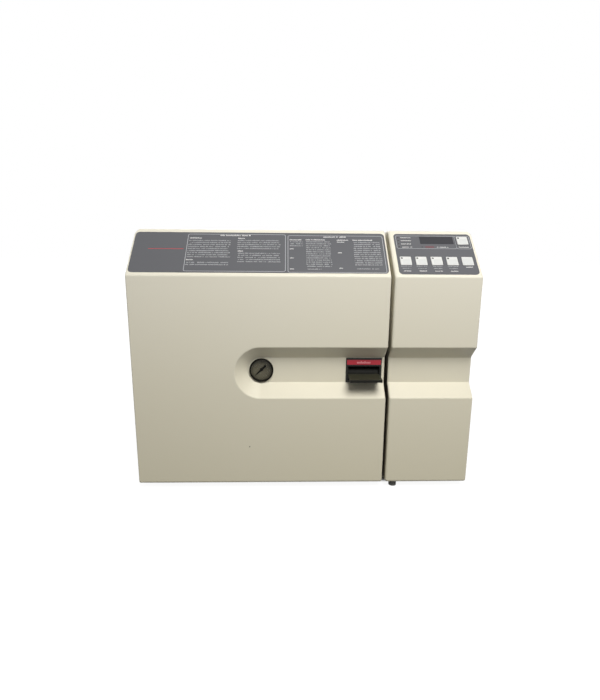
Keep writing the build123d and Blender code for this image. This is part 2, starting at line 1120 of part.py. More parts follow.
def status_lamps():
    high = label_thickness - label_sink
    lamps = [lamp_stub(x, s, lamp_radius, board_top, high) for x, s in lamp_places]
    return Compound(children=lamps)


# Case
side_screws = []
for n in range(screws_along_side):
    span = rear_y - bulkhead_back - screw_end_margin * 2
    side_screws.append(bulkhead_back + screw_end_margin + span * n / (screws_along_side - 1))
panel_screws_x = (-case_inside + screw_end_margin / 2, 0, case_inside - screw_end_margin / 2)
screw_z = case_foot + screw_height
panel_screws = [(x, screw_z) for x in panel_screws_x]
panel_screws += [(x, case_ceiling - wrap_return / 2) for x in panel_screws_x]


def side_screw_rods(radius, reach_in, reach_out):
    rods = []
    for y in side_screws:
        rods.append(rod_x(radius, -case_half - reach_out, -case_half + reach_in, y, screw_z))
        rods.append(rod_x(radius, case_half - reach_in, case_half + reach_out, y, screw_z))
    return rods


def panel_screw_rods(radius, reach_in, reach_out):
    return [rod_y(radius, rear_y - reach_in, rear_y + reach_out, x, z) for x, z in panel_screws]


def screw_holes():
    radius = screw_radius + screw_clearance
    return side_screw_rods(radius, screw_length + 1, 1) + panel_screw_rods(radius, screw_length + 1, 1)


def without_holes(body):
    for hole in screw_holes():
        body = body - hole
    return body


def cabinet_screws():
    heads = side_screw_rods(screw_head, 0, screw_head_height)
    heads += panel_screw_rods(screw_head, 0, screw_head_height)
    shanks = side_screw_rods(screw_radius, screw_length, 0) + panel_screw_rods(screw_radius, screw_length, 0)
    return Compound(children=[head + shank for head, shank in zip(heads, shanks)])


def arch(half, low, high, radius):
    """Outline with two rounded upper corners"""
    outline = Pos(0, (low + high) / 2) * Rectangle(half * 2, high - low)
    return fillet([v for v in outline.vertices() if v.Y > (low + high) / 2], radius)


def vent_slots(x, y_middle, z_middle, along_y):
    """Row of upright slots through a wall"""
    slots = []
    for n in range(vent_count):
        shift = (n - (vent_count - 1) / 2) * vent_pitch
        if along_y:
            centre = (x, y_middle + shift, z_middle)
            slots.append(Pos(*centre) * Box(sheet * 6, vent_width, vent_length))
        else:
            centre = (x + shift, y_middle, z_middle)
            slots.append(Pos(*centre) * Box(vent_width, sheet * 6, vent_length))
    return slots


tub_right = case_inside - case_bend - tub_rim
tub_left = tub_right - tub_width
fill_left = tub_left + (tub_width - fill_width) / 2
fill_right = fill_left + fill_width
fill_y0 = tub_front + fill_front
fill_y1 = fill_y0 + fill_length


def case_wrap():
    outer = prism_y(arch(case_half, case_foot, case_top, case_bend), case_front, rear_y)
    inner = prism_y(
        arch(case_inside, case_foot - 1, case_ceiling, case_bend - sheet), case_front - 1, rear_y + 1
    )
    body = outer - inner
    ring = prism_y(
        arch(case_inside, case_foot + pan_flange + 2, case_ceiling, case_bend - sheet),
        panel_front - sheet,
        panel_front,
    )
    hole = prism_y(
        arch(case_inside - wrap_return, case_foot, case_ceiling - wrap_return, case_bend),
        panel_front - sheet - 1,
        panel_front + 1,
    )
    body = body + (ring - hole)
    body = body - block(fill_left, fill_right, fill_y0, fill_y1, case_ceiling - 1, case_top + 1)
    for slot in vent_slots(case_half, (case_front + tub_front) / 2, axis_z, True):
        body = body - slot
    for slot in vent_slots(-case_half, rear_y / 2, axis_z, True):
        body = body - slot
    return without_holes(body) - hinge_relief()


def bulkhead():
    outline = arch(case_inside, case_foot, case_ceiling, case_bend - sheet + corner_ease)
    wall = prism_y(outline, case_front, bulkhead_back)
    wall = wall - disc(chamber_radius + chamber_wall + shell_clearance, case_front - 1, bulkhead_back + 1)
    for x0 in (leg_left - keeper_leg, leg_right):
        wall = wall - block(
            x0 - screw_clearance,
            x0 + keeper_leg + screw_clearance,
            case_front - 1,
            bulkhead_back + 1,
            bar_z - bar_radius - screw_clearance,
            bar_z + bar_radius + screw_clearance,
        )
    return wall - hinge_relief()


def base_pan():
    high = case_foot + pan_flange
    pan = block(-case_inside, case_inside, bulkhead_back, panel_front, case_foot, high)
    pan = pan - block(
        -case_inside + sheet,
        case_inside - sheet,
        bulkhead_back + sheet,
        panel_front - sheet,
        case_floor,
        high + 1,
    )
    pan = pan - disc(insulation_radius + shell_clearance, bulkhead_back - 1, bulkhead_back + sheet + 1)
    for opening in panel_openings():
        pan = pan - opening
    return without_holes(pan)


def rear_panel():
    outline = arch(case_inside, case_foot, case_ceiling, case_bend - sheet + corner_ease)
    panel = prism_y(outline, panel_front, rear_y)
    for slot in vent_slots(tub_left + tub_width / 2, rear_y, axis_z, False):
        panel = panel - slot
    for hole in panel_openings():
        panel = panel - hole
    return without_holes(panel)


def feet():
    pads = []
    for x in (-case_half + foot_inset, case_half - foot_inset):
        for y in (bulkhead_back + foot_front, rear_y - foot_back):
            pads.append(rod_z(foot_radius, 0, case_foot, x, y))
    small = rod_z(
        column_foot_radius, 0, cover_bottom, column_left + column_foot_side, front_y + column_foot_back
    )
    return Compound(children=pads + [small])


# Chamber and what is round it
chamber_end = flange_front + chamber_straight
dome_end = chamber_end + dome_depth
chamber_outer = chamber_radius + chamber_wall
dome_sphere = (chamber_outer**2 + dome_depth**2) / (2 * dome_depth)
dome_centre = dome_end - dome_sphere


def dome_y(radius):
    """Where the rear dome's outside stands at a radius"""
    return dome_centre + sqrt(dome_sphere**2 - radius**2)


ports = [
    (axis_x + port_circle * cos(radians(angle)), axis_z + port_circle * sin(radians(angle)))
    for angle in port_angles
]
port_end = dome_y(port_circle) + port_stand
relief_x, relief_z = ports[2]


def round_shell(radius, y0, sphere):
    """Solid cylinder closed by part of a sphere at the rear"""
    body = disc(radius, y0, dome_end)
    ball = Pos(axis_x, dome_centre, axis_z) * Sphere(sphere)
    start = disc(radius, y0, dome_centre)
    return start + (disc(radius, dome_centre, dome_end) & ball) if y0 < dome_centre else body & ball


def chamber():
    outer = round_shell(chamber_outer, flange_front, dome_sphere)
    for x, z in ports:
        outer = outer + rod_y(port_radius, dome_y(port_circle) - port_radius, port_end, x, z)
    outer = outer + disc(flange_radius, flange_front, case_front)
    shell = outer - round_shell(chamber_radius, flange_front - 1, dome_sphere - chamber_wall)
    for x, z in ports:
        shell = shell - rod_y(pipe_radius + pin_clearance, chamber_end, port_end + 1, x, z)
    return shell


band_starts = (bulkhead_back + band_width, chamber_end - band_width * 2)


def heater_bands():
    bands = []
    for y0 in band_starts:
        ring = disc(chamber_outer + band_gap + band_thickness, y0, y0 + band_width)
        bands.append(ring - disc(chamber_outer + band_gap, y0 - 1, y0 + band_width + 1))
    return Compound(children=bands)


def chamber_insulation():
    inner = chamber_outer + band_gap * 2 + band_thickness
    end = chamber_end - insulation_end
    return disc(insulation_radius, bulkhead_back, end) - disc(inner, bulkhead_back - 1, end + 1)


def rear_saddle():
    y0 = chamber_end - saddle_from_dome
    plate = block(
        axis_x - saddle_half_width,
        axis_x + saddle_half_width,
        y0,
        y0 + saddle_thickness,
        case_floor,
        case_floor + saddle_top,
    )
    foot = block(
        axis_x - saddle_half_width,
        axis_x + saddle_half_width,
        y0 - pan_flange,
        y0,
        case_floor,
        case_floor + saddle_thickness,
    )
    return plate + foot - disc(insulation_radius + band_gap, y0 - pan_flange - 1, y0 + saddle_thickness + 1)


# Tray rack and trays
rack_y0 = flange_front + rack_front
rack_y1 = rack_y0 + rack_length
rack_below = sqrt((chamber_radius - rack_seat_gap) ** 2 - rack_half_width**2)
rack_inner = rack_half_width - rack_sheet


def tray_rack():
    sides = []
    for side in (-1, 1):
        x0 = axis_x + side * rack_half_width
        x1 = axis_x + side * rack_inner
        wall = block(
            min(x0, x1), max(x0, x1), rack_y0, rack_y1, axis_z - rack_below, axis_z + rack_above
        )
        rail_in = axis_x + side * (rack_inner - rail_width)
        for level in tray_levels:
            z1 = axis_z + level
            wall = wall + block(
                min(x1, rail_in), max(x1, rail_in), rack_y0, rack_y1, z1 - rail_thickness, z1
            )
        sides.append(wall)
    bars = []
    for y in (rack_y0 + rail_width, rack_y1 - rail_width):
        z = axis_z - rack_below + rail_width
        bars.append(rod_x(rack_bar_radius, axis_x - rack_inner, axis_x + rack_inner, y, z))
    return joined(sides + bars)


def tray(level):
    z1 = axis_z + level
    y0 = rack_y0 + tray_clearance
    y1 = y0 + tray_length
    rim = rack_inner - tray_clearance
    half = rim - tray_rim - tray_clearance
    shape = block(axis_x - rim, axis_x + rim, y0, y1, z1, z1 + tray_sheet)
    shape = shape + block(
        axis_x - half, axis_x + half, y0 + tray_rim, y1 - tray_rim, z1 - tray_depth, z1 + tray_sheet
    )
    return shape - block(
        axis_x - half + tray_sheet,
        axis_x + half - tray_sheet,
        y0 + tray_rim + tray_sheet,
        y1 - tray_rim - tray_sheet,
        z1 - tray_depth + tray_sheet,
        z1 + tray_sheet + 1,
    )


# Water reservoir
tub_back = tub_front + tub_length
tub_bottom = case_ceiling - tub_height


def water_reservoir():
    tub = block(tub_left, tub_right, tub_front, tub_back, tub_bottom, case_ceiling)
    tub = tub + block(
        tub_left - tub_rim,
        tub_right + tub_rim,
        tub_front - tub_rim,
        tub_back + tub_rim,
        case_ceiling - tub_wall,
        case_ceiling,
    )
    return tub - block(
        tub_left + tub_wall,
        tub_right - tub_wall,
        tub_front + tub_wall,
        tub_back - tub_wall,
        tub_bottom + tub_wall,
        case_ceiling + 1,
    )


lid_low = case_top + lid_gap
lid_high = lid_low + lid_thickness
lid_axis_y = fill_y1 + lid_axis_back
lid_axis_z = case_top + lid_ear_radius
lid_middle = (fill_left + fill_right) / 2
barrel_left = lid_middle - lid_barrel_length / 2
barrel_right = lid_middle + lid_barrel_length / 2


def reservoir_lid():
    plate = block(
        fill_left - lid_margin,
        fill_right + lid_margin,
        fill_y0 - lid_margin,
        fill_y1 + lid_margin,
        lid_low,
        lid_high,
    )
    upper = [e for e in plate.edges() if abs(e.position_at(0.5).Z - lid_high) < 0.01]
    plate = fillet(upper, lid_thickness / 4)
    skirt = block(
        fill_left + lid_play,
        fill_right - lid_play,
        fill_y0 + lid_play,
        fill_y1 - lid_play,
        lid_low - lid_skirt,
        lid_low,
    )
    inside = block(
        fill_left + lid_play + lid_skirt_wall,
        fill_right - lid_play - lid_skirt_wall,
        fill_y0 + lid_play + lid_skirt_wall,
        fill_y1 - lid_play - lid_skirt_wall,
        lid_low - lid_skirt - 1,
        lid_low,
    )
    barrel = rod_x(lid_barrel, barrel_left, barrel_right, lid_axis_y, lid_axis_z)
    tongue = block(
        barrel_left, barrel_right, fill_y1, lid_axis_y, lid_axis_z - 1, lid_axis_z + lid_barrel - 0.4
    )
    reach = lid_ear_gap + lid_ear
    pin = rod_x(lid_pin, barrel_left - reach, barrel_right + reach, lid_axis_y, lid_axis_z)
    return plate + (skirt - inside) + barrel + tongue + pin


def lid_hinge():
    ears = []
    for x0 in (barrel_left - lid_ear_gap - lid_ear, barrel_right + lid_ear_gap):
        x1 = x0 + lid_ear
        ear = rod_x(lid_ear_radius, x0, x1, lid_axis_y, lid_axis_z)
        ear = ear + block(
            x0, x1, lid_axis_y - lid_ear_radius, lid_axis_y + lid_ear_radius, case_top, lid_axis_z
        )
        ears.append(ear - rod_x(lid_pin + pin_clearance, x0 - 1, x1 + 1, lid_axis_y, lid_axis_z))
    return Compound(children=ears)


# Rear fittings
relief_axis_y = rear_y + relief_axis_back
relief_axis_z = relief_z + relief_axis_up
bonnet_end = rear_y + relief_hex_length + relief_bonnet_length


def relief_valve():
    hexagon = prism_y(
        Pos(relief_x, relief_z) * RegularPolygon(relief_hex, 6), rear_y, rear_y + relief_hex_length
    )
    body = rod_y(relief_pipe, port_end, rear_y, relief_x, relief_z) + hexagon
    body = body + rod_y(relief_bonnet, rear_y, bonnet_end, relief_x, relief_z)
    for x0 in (relief_x - relief_ear_half - relief_ear, relief_x + relief_ear_half):
        x1 = x0 + relief_ear
        ear = block(x0, x1, rear_y + 1, relief_axis_y + relief_hub, relief_z, relief_axis_z + relief_hub)
        bore = rod_x(relief_pin + pin_clearance, x0 - 1, x1 + 1, relief_axis_y, relief_axis_z)
        body = body + (ear - bore)
    return body


def relief_lever():
    half = relief_ear_half - relief_gap
    hub = rod_x(relief_hub, relief_x - half, relief_x + half, relief_axis_y, relief_axis_z)
    y0 = bonnet_end + relief_gap
    plate = block(
        relief_x - half,
        relief_x + half,
        y0,
        y0 + relief_lever_sheet,
        relief_axis_z - relief_lever_length,
        relief_axis_z,
    )
    reach = relief_ear_half + relief_ear
    pin = rod_x(relief_pin, relief_x - reach, relief_x + reach, relief_axis_y, relief_axis_z)
    return hub + plate + pin


drain_end = rear_y + drain_body_length


def drain_cock():
    body = rod_y(drain_body, rear_y, drain_end, drain_x, drain_z)
    body = body + rod_y(pipe_radius * 2, tub_back - tub_wall * 2, rear_y, drain_x, drain_z)
    y = rear_y + drain_body_length / 2
    top = drain_z
    spout = rod_z(drain_spout, top - drain_spout_drop - drain_body / 2, top, drain_x, y)
    bore_radius = drain_stem + pin_clearance
    bore = rod_y(bore_radius, drain_end - drain_body_length / 2, drain_end + 1, drain_x, drain_z)
    return body + spout - bore


def drain_knob():
    y0 = drain_end + drain_gap
    y1 = y0 + drain_knob_length
    hub = rod_y(drain_knob_radius, y0, y1, drain_x, drain_z)
    bar = block(
        drain_x - drain_handle / 2,
        drain_x + drain_handle / 2,
        y0 + drain_knob_length / 3,
        y1,
        drain_z - drain_knob_radius / 2,
        drain_z + drain_knob_radius / 2,
    )
    stem = rod_y(drain_stem, drain_end - drain_body_length / 2 + drain_gap, y0, drain_x, drain_z)
    return hub + bar + stem


rocker_z = inlet_z + rocker_rise
rocker_y = rear_y + 0.5
socket_z = inlet_z - socket_drop


def power_inlet():
    """Panel module with the mains inlet and the room for its rocker"""
    flange = block(
        inlet_x - inlet_width / 2,
        inlet_x + inlet_width / 2,
        rear_y,
        rear_y + inlet_flange,
        inlet_z - inlet_height / 2,
        inlet_z + inlet_height / 2,
    )
    inner = inlet_flange
    body = block(
        inlet_x - inlet_width / 2 + inner,
        inlet_x + inlet_width / 2 - inner,
        rear_y - inlet_body_depth,
        rear_y,
        inlet_z - inlet_height / 2 + inner,
        inlet_z + inlet_height / 2 - inner,
    )
    socket = block(
        inlet_x - socket_width / 2,
        inlet_x + socket_width / 2,
        rear_y + inlet_flange - socket_depth,
        rear_y + inlet_flange + 1,
        socket_z - socket_height / 2,
        socket_z + socket_height / 2,
    )
    module = flange + body - socket
    for n in (-1, 0, 1):
        x = inlet_x + n * socket_width / 4
        z = socket_z + (socket_height / 8 if n == 0 else -socket_height / 8)
        module = module + block(
            x - socket_pin / 2,
            x + socket_pin / 2,
            rear_y + inlet_flange - socket_depth,
            rear_y,
            z - socket_pin_height / 2,
            z + socket_pin_height / 2,
        )
    room = block(
        inlet_x - rocker_width / 2 - rocker_gap,
        inlet_x + rocker_width / 2 + rocker_gap,
        rocker_y - rocker_round,
        rear_y + inlet_flange + 1,
        rocker_z - rocker_round - rocker_gap,
        rocker_z + rocker_round + rocker_gap,
    )
    reach = rocker_width / 2 + rocker_gap * 4
    bore = rod_x(rocker_pin + pin_clearance, inlet_x - reach, inlet_x + reach, rocker_y, rocker_z)
    return module - room - bore


def power_rocker():
    crown = rocker_half * sin(radians(rocker_tilt))
    outline = Polygon(
        (-rocker_half / 2, -rocker_half),
        (inlet_flange - 0.5 + crown, -rocker_half),
        (inlet_flange - 0.5, 0),
        (inlet_flange - 0.5 + crown, rocker_half),
        (-rocker_half / 2, rocker_half),
        align=None,
    )
    cap = prism_x(outline, -rocker_width / 2, rocker_width / 2)
    cap = cap & rod_x(rocker_round, -rocker_width, rocker_width, 0, 0)
    reach = rocker_width / 2 + rocker_gap * 3
    cap = cap + rod_x(rocker_pin, -reach, reach, 0, 0)
    return Pos(inlet_x, rocker_y, rocker_z) * Rot(-rocker_tilt, 0, 0) * cap


fuse_places = [(fuse_x, inlet_z - fuse_pitch / 2), (fuse_x, inlet_z + fuse_pitch / 2)]


def fuse_holders():
    holders = []
    for x, z in fuse_places:
        cap = rod_y(fuse_radius, rear_y, rear_y + fuse_length, x, z)
        holders.append(cap + rod_y(fuse_body, rear_y - fuse_body_depth, rear_y, x, z))
    return Compound(children=holders)


def panel_openings():
    """Holes in the rear panel for the fittings"""
    inner = inlet_flange - hole_fit
    holes = [
        block(
            inlet_x - inlet_width / 2 + inner,
            inlet_x + inlet_width / 2 - inner,
            panel_front - 1,
            rear_y + 1,
            inlet_z - inlet_height / 2 + inner,
            inlet_z + inlet_height / 2 - inner,
        )
    ]
    for x, z in fuse_places:
        holes.append(rod_y(fuse_body + hole_fit, panel_front - 1, rear_y + 1, x, z))
    holes.append(rod_y(relief_pipe + hole_fit, panel_front - 1, rear_y + 1, relief_x, relief_z))
    holes.append(rod_y(pipe_radius * 2 + hole_fit, panel_front - 1, rear_y + 1, drain_x, drain_z))
    return holes


# Pipes and valves
pipe_z = case_floor + pipe_floor
valve_half = valve_body / 2


def pipe(points):
    """Bent copper tube through the points"""
    path = FilletPolyline(*points, radius=pipe_bend)
    start = Plane(origin=path @ 0, z_dir=path % 0)
    return sweep(start * Circle(pipe_radius), path=path)


def copper_lines():
    port_a, port_b = ports[0], ports[1]
    fill = pipe(
        [
            (valve_x - valve_half, valve_fill_y, pipe_z),
            (fill_turn_x, valve_fill_y, pipe_z),
            (fill_turn_x, fill_turn_y, pipe_z),
            (port_a[0], fill_turn_y, pipe_z),
            (port_a[0], fill_turn_y, port_a[1]),
            (port_a[0], port_end - port_radius, port_a[1]),
        ]
    )
    drain = pipe(
        [
            (valve_x - valve_half, valve_drain_y, pipe_z),
            (drain_turn_x, valve_drain_y, pipe_z),
            (drain_turn_x, drain_turn_y, pipe_z),
            (port_b[0], drain_turn_y, pipe_z),
            (port_b[0], drain_turn_y, port_b[1]),
            (port_b[0], port_end - port_radius, port_b[1]),
        ]
    )
    feed = pipe(
        [
            (fill_pipe_x, valve_fill_y, tub_bottom),
            (fill_pipe_x, valve_fill_y, pipe_z),
            (valve_x + valve_half, valve_fill_y, pipe_z),
        ]
    )
    back = pipe(
        [
            (return_pipe_x, valve_drain_y, tub_bottom),
            (return_pipe_x, valve_drain_y, pipe_z),
            (valve_x + valve_half, valve_drain_y, pipe_z),
        ]
    )
    emptying = pipe(
        [
            (drain_x, tub_back - drain_body * 2, tub_bottom),
            (drain_x, tub_back - drain_body * 2, drain_z),
            (drain_x, tub_back - tub_wall * 2, drain_z),
        ]
    )
    return Compound(children=[fill, drain, feed, back, emptying])


def solenoid_valves():
    valves = []
    for y in (valve_fill_y, valve_drain_y):
        high = case_floor + valve_body_height
        left = valve_x - valve_half
        right = valve_x + valve_half
        body = block(left, right, y - valve_half, y + valve_half, case_floor, high)
        coil = block(
            left + 1,
            right - 1,
            y - valve_coil / 2,
            y + valve_coil / 2,
            high,
            high + valve_coil_height,
        )
        valves.append(body + coil)
    return Compound(children=valves)


def transformer():
    core = block(
        transformer_x - transformer_width / 2,
        transformer_x + transformer_width / 2,
        transformer_y - transformer_length / 2 + coil_overhang,
        transformer_y + transformer_length / 2 - coil_overhang,
        case_floor,
        case_floor + transformer_height,
    )
    middle = case_floor + transformer_height / 2
    coil = block(
        transformer_x - coil_width / 2,
        transformer_x + coil_width / 2,
        transformer_y - transformer_length / 2,
        transformer_y + transformer_length / 2,
        middle - coil_height / 2,
        middle + coil_height / 2,
    )
    return core + coil


def control_board():
    x1 = case_inside - standoff_length
    x0 = x1 - board_thickness
    y1 = board_front + board_length
    z1 = board_foot + board_height
    board = block(x0, x1, board_front, y1, board_foot, z1)
    edge = standoff_radius * 3
    for y in (board_front + edge, y1 - edge):
        for z in (board_foot + edge, z1 - edge):
            board = board + rod_x(standoff_radius, x1, case_inside, y, z)
    for n in range(3):
        y = board_front + board_length * (n + 1) / 4
        z = board_foot + board_height / 2
        board = board + block(x0 - edge * 2, x0, y - edge, y + edge, z - edge, z + edge)
    return board


# Every sub-part under its node name
nodes = {
    "base_pan": base_pan(),
    "bulkhead": bulkhead(),
    "case_wrap": case_wrap(),
    "rear_panel": rear_panel(),
    "feet": feet(),
    "cabinet_screws": cabinet_screws(),
    "column_cover": column_cover(),
    "control_overlay": control_overlay(),
    "display_window": display_window(),
    "display_board": display_board(),
    "status_lamps": status_lamps(),
    "chamber": chamber(),
    "chamber_insulation": chamber_insulation(),
    "heater_bands": heater_bands(),
    "rear_saddle": rear_saddle(),
    "tray_rack": tray_rack(),
    "tray_lower": tray(tray_levels[0]),
    "tray_upper": tray(tray_levels[1]),
    "water_reservoir": water_reservoir(),
    "reservoir_lid": reservoir_lid(),
    "lid_hinge": lid_hinge(),
    "relief_valve": relief_valve(),
    "relief_lever": relief_lever(),
    "drain_cock": drain_cock(),
    "drain_knob": drain_knob(),
    "power_inlet": power_inlet(),
    "power_rocker": power_rocker(),
    "fuse_holders": fuse_holders(),
    "copper_lines": copper_lines(),
    "solenoid_valves": solenoid_valves(),
    "transformer": transformer(),
    "control_board": control_board(),
    "door_cover": door_cover(),
    "instruction_plate": door_label(label_thickness - label_sink),
    "door_liner": door_liner(),
    "liner_posts": liner_posts(),
    "strongback": strongback(),
    "pressure_plate": pressure_plate(),
    "plate_fixings": plate_fixings(),
    "door_gasket": door_gasket(),
    "hinge_case_leaves": hinge_case_leaves(),
    "hinge_door_leaves": hinge_door_leaves(),
    "hinge_pins": hinge_pins(),
    "gauge_case": gauge_case(),
    "gauge_dial": gauge_dial(),
    "gauge_lens": gauge_lens(),
    "gauge_needle": gauge_needle(),
    "latch_pocket": latch_pocket(),
    "latch_label": latch_label(),
    "latch_lever": latch_lever(),
    "latch_shaft": latch_shaft(),
    "latch_hook": latch_hook(),
    "latch_keeper": latch_keeper(),
}
key_names = [f"program_key_{n + 1}" for n in range(program_keys)] + ["stop_key", "start_key"]
for name, (x, s) in zip(key_names, key_places()):
    nodes[name] = key_cap(x, s)

for name, shape in nodes.items():
    export_step(shape, f"parts/{name}.step")
print(len(nodes), "nodes")
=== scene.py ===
"""Looks of the table-top steam steriliser.

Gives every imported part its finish, adds the print on the two front labels, the marks of the
gauge, the keys and the latch, the recesses of the screws and a bare plate on the back, and sets
up the stage and the camera.
"""

import math

import bmesh
import bpy
from mathutils import Matrix, Vector


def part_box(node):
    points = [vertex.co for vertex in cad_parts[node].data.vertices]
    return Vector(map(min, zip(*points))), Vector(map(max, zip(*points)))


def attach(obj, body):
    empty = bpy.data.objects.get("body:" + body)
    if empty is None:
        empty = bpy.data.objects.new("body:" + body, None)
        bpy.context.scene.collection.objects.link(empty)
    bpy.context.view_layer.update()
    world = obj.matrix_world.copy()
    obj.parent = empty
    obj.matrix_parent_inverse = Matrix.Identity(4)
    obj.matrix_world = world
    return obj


bl_info = {
    "name": "Table-top steam steriliser",
    "version": (1, 0, 0),
    "blender": (4, 5, 0),
    "location": "3D View > Sidebar > Steriliser",
    "description": "Finishes, print and stage of a table-top steam steriliser",
    "category": "Object",
}

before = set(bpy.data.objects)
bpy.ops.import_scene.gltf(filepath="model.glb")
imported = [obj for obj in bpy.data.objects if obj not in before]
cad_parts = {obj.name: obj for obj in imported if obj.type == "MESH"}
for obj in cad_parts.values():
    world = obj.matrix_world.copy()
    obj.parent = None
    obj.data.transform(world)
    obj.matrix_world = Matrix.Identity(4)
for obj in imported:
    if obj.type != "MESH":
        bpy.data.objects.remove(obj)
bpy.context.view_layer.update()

MM = 0.001
QUARTER_TURN = math.radians(90)
COVER_LOW, COVER_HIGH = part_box("door_cover")

# Places on the sloping front are given across it, up it and out of it
SLOPE_RUN = 66 * MM
SLOPE_RISE = 64 * MM
SLOPE_FOOT = COVER_HIGH.z - SLOPE_RISE
SLOPE_TURN = Matrix.Rotation(math.atan2(SLOPE_RISE, SLOPE_RUN), 4, "X")
SLOPE = Matrix.Translation((0, COVER_LOW.y, SLOPE_FOOT)) @ SLOPE_TURN

# A label stands this far out of the slope
LABEL_TOP = 0.2 * MM

# Print stands INK above its face and reaches OVERLAP into it
INK = 0.05 * MM
OVERLAP = 0.02 * MM
INK_DEPTH = INK + OVERLAP
INK_MIDDLE = (INK - OVERLAP) / 2

# Straight runs in a rounded corner and round a whole disc
CORNER_STEPS = 6
DISC_STEPS = 20


def srgb(red, green, blue):
    """Linear colour of an 8-bit one"""
    parts = []
    for value in (red, green, blue):
        part = value / 255
        parts.append(part / 12.92 if part <= 0.04045 else ((part + 0.055) / 1.055) ** 2.4)
    return tuple(parts)


def tinted(colour, amount):
    """A colour made lighter or darker"""
    return tuple(max(0.0, min(1.0, part * amount)) for part in colour)


class Wire:
    """A node's socket that can stand in plain sums"""

    def __init__(self, graph, socket):
        self.graph = graph
        self.socket = socket

    def math(self, operation, *others):
        values = (self, *others)
        return self.graph.node("ShaderNodeMath", {"operation": operation}, dict(enumerate(values)))

    def clamped(self):
        """The value kept from 0 to 1"""
        return self.math("MINIMUM", 1.0).math("MAXIMUM", 0.0)

    def __add__(self, other):
        return self.math("ADD", other)

    __radd__ = __add__

    def __mul__(self, other):
        return self.math("MULTIPLY", other)

    __rmul__ = __mul__

    def __sub__(self, other):
        return self.math("SUBTRACT", other)

    def __rsub__(self, other):
        return self * -1 + other

    def __truediv__(self, other):
        return self.math("DIVIDE", other)

    def __mod__(self, other):
        return self.math("FLOORED_MODULO", other)

    def __gt__(self, other):
        return self.math("GREATER_THAN", other)

    def __lt__(self, other):
        return self.math("LESS_THAN", other)


class Graph:
    """Builds a node tree"""

    def __init__(self, tree):
        self.tree = tree

    def node(self, kind, settings=None, sockets=None, out=0):
        """A node with its settings, then the values or links of its sockets"""
        made = self.tree.nodes.new(kind)
        for name, value in (settings or {}).items():
            setattr(made, name, value)
        for name, value in (sockets or {}).items():
            self.feed(made.inputs[name], value)
        return Wire(self, made.outputs[out]) if len(made.outputs) else made

    def feed(self, socket, value):
        """Sets a socket or links it, more than once where the value is a list of wires"""
        if isinstance(value, list):
            for part in value:
                self.feed(socket, part)
        elif isinstance(value, Wire):
            self.tree.links.new(value.socket, socket)
        elif socket.type == "RGBA" and len(value) == 3:
            socket.default_value = (*value, 1)
        else:
            socket.default_value = value

    def mix(self, factor, first, second):
        """A colour between two others"""
        settings = {"data_type": "RGBA", "clamp_factor": True}
        return self.node("ShaderNodeMix", settings, {0: factor, 6: first, 7: second}, 2)

    def vector(self, x=0.0, y=0.0, z=0.0):
        return self.node("ShaderNodeCombineXYZ", None, {0: x, 1: y, 2: z})

    def split(self, vector, axis):
        return self.node("ShaderNodeSeparateXYZ", None, {0: vector}, axis)

    def distance(self, vector, centre=(0, 0, 0)):
        """How far a vector is from a centre"""
        settings = {"operation": "DISTANCE"}
        return self.node("ShaderNodeVectorMath", settings, {0: vector, 1: centre}, "Value")

    def place(self, scale=(1, 1, 1), centre=(0, 0, 0)):
        """Object coordinates, stretched by scale about centre"""
        start = self.node("ShaderNodeTexCoord", None, None, "Object")
        moved = tuple(-c * s for c, s in zip(centre, scale))
        sockets = {"Vector": start, "Location": moved, "Scale": scale}
        return self.node("ShaderNodeMapping", None, sockets)

    def noise(self, vector, scale, detail=3.0, rough=0.5):
        sockets = {"Vector": vector, "Scale": scale, "Detail": detail, "Roughness": rough}
        return self.node("ShaderNodeTexNoise", None, sockets, 0)

    def bump(self, strength, depth, height, **others):
        """Normal of a surface that rises with height"""
        sockets = {"Strength": strength, "Distance": depth, "Height": height, **others}
        return self.node("ShaderNodeBump", None, sockets)


finishes = {}


def start_finish(name):
    """New material with an empty node tree, kept among the finishes"""
    material = bpy.data.materials.new(name)
    material.use_nodes = True
    material.node_tree.nodes.clear()
    finishes[name] = material
    return Graph(material.node_tree)


def end_finish(graph, colour, roughness, normal=None, **constants):
    """Ends a material in its shader; constants are set on the shader's own sockets"""
    sockets = {"Base Color": colour, "Roughness": roughness}
    if normal is not None:
        sockets["Normal"] = normal
    sockets.update({name.replace("_", " "): value for name, value in constants.items()})
    shader = graph.node("ShaderNodeBsdfPrincipled", None, sockets)
    graph.node("ShaderNodeOutputMaterial", None, {"Surface": shader})


def grained(
    name,
    colour,
    roughness,
    cloud=0.05,
    cloud_scale=7.0,
    grain=0.25,
    grain_scale=900.0,
    depth=0.08 * MM,
    spread=0.08,
    stretch=(1, 1, 1),
    **constants,
):
    """A moulded, painted or brushed surface: cloudy colour, fine grain and uneven gloss"""
    graph = start_finish(name)
    clouds = graph.noise(graph.place(), cloud_scale, detail=4.0)
    fine = graph.noise(graph.place(stretch), grain_scale, detail=2.0)
    tone = graph.mix(clouds, tinted(colour, 1 - cloud), tinted(colour, 1 + cloud))
    tone = graph.mix(fine * (cloud * 2), tone, tinted(colour, 1 - cloud * 2))
    gloss = (clouds - 0.5) * spread + (fine - 0.5) * spread + roughness
    end_finish(graph, tone, gloss, graph.bump(grain, depth, fine), **constants)


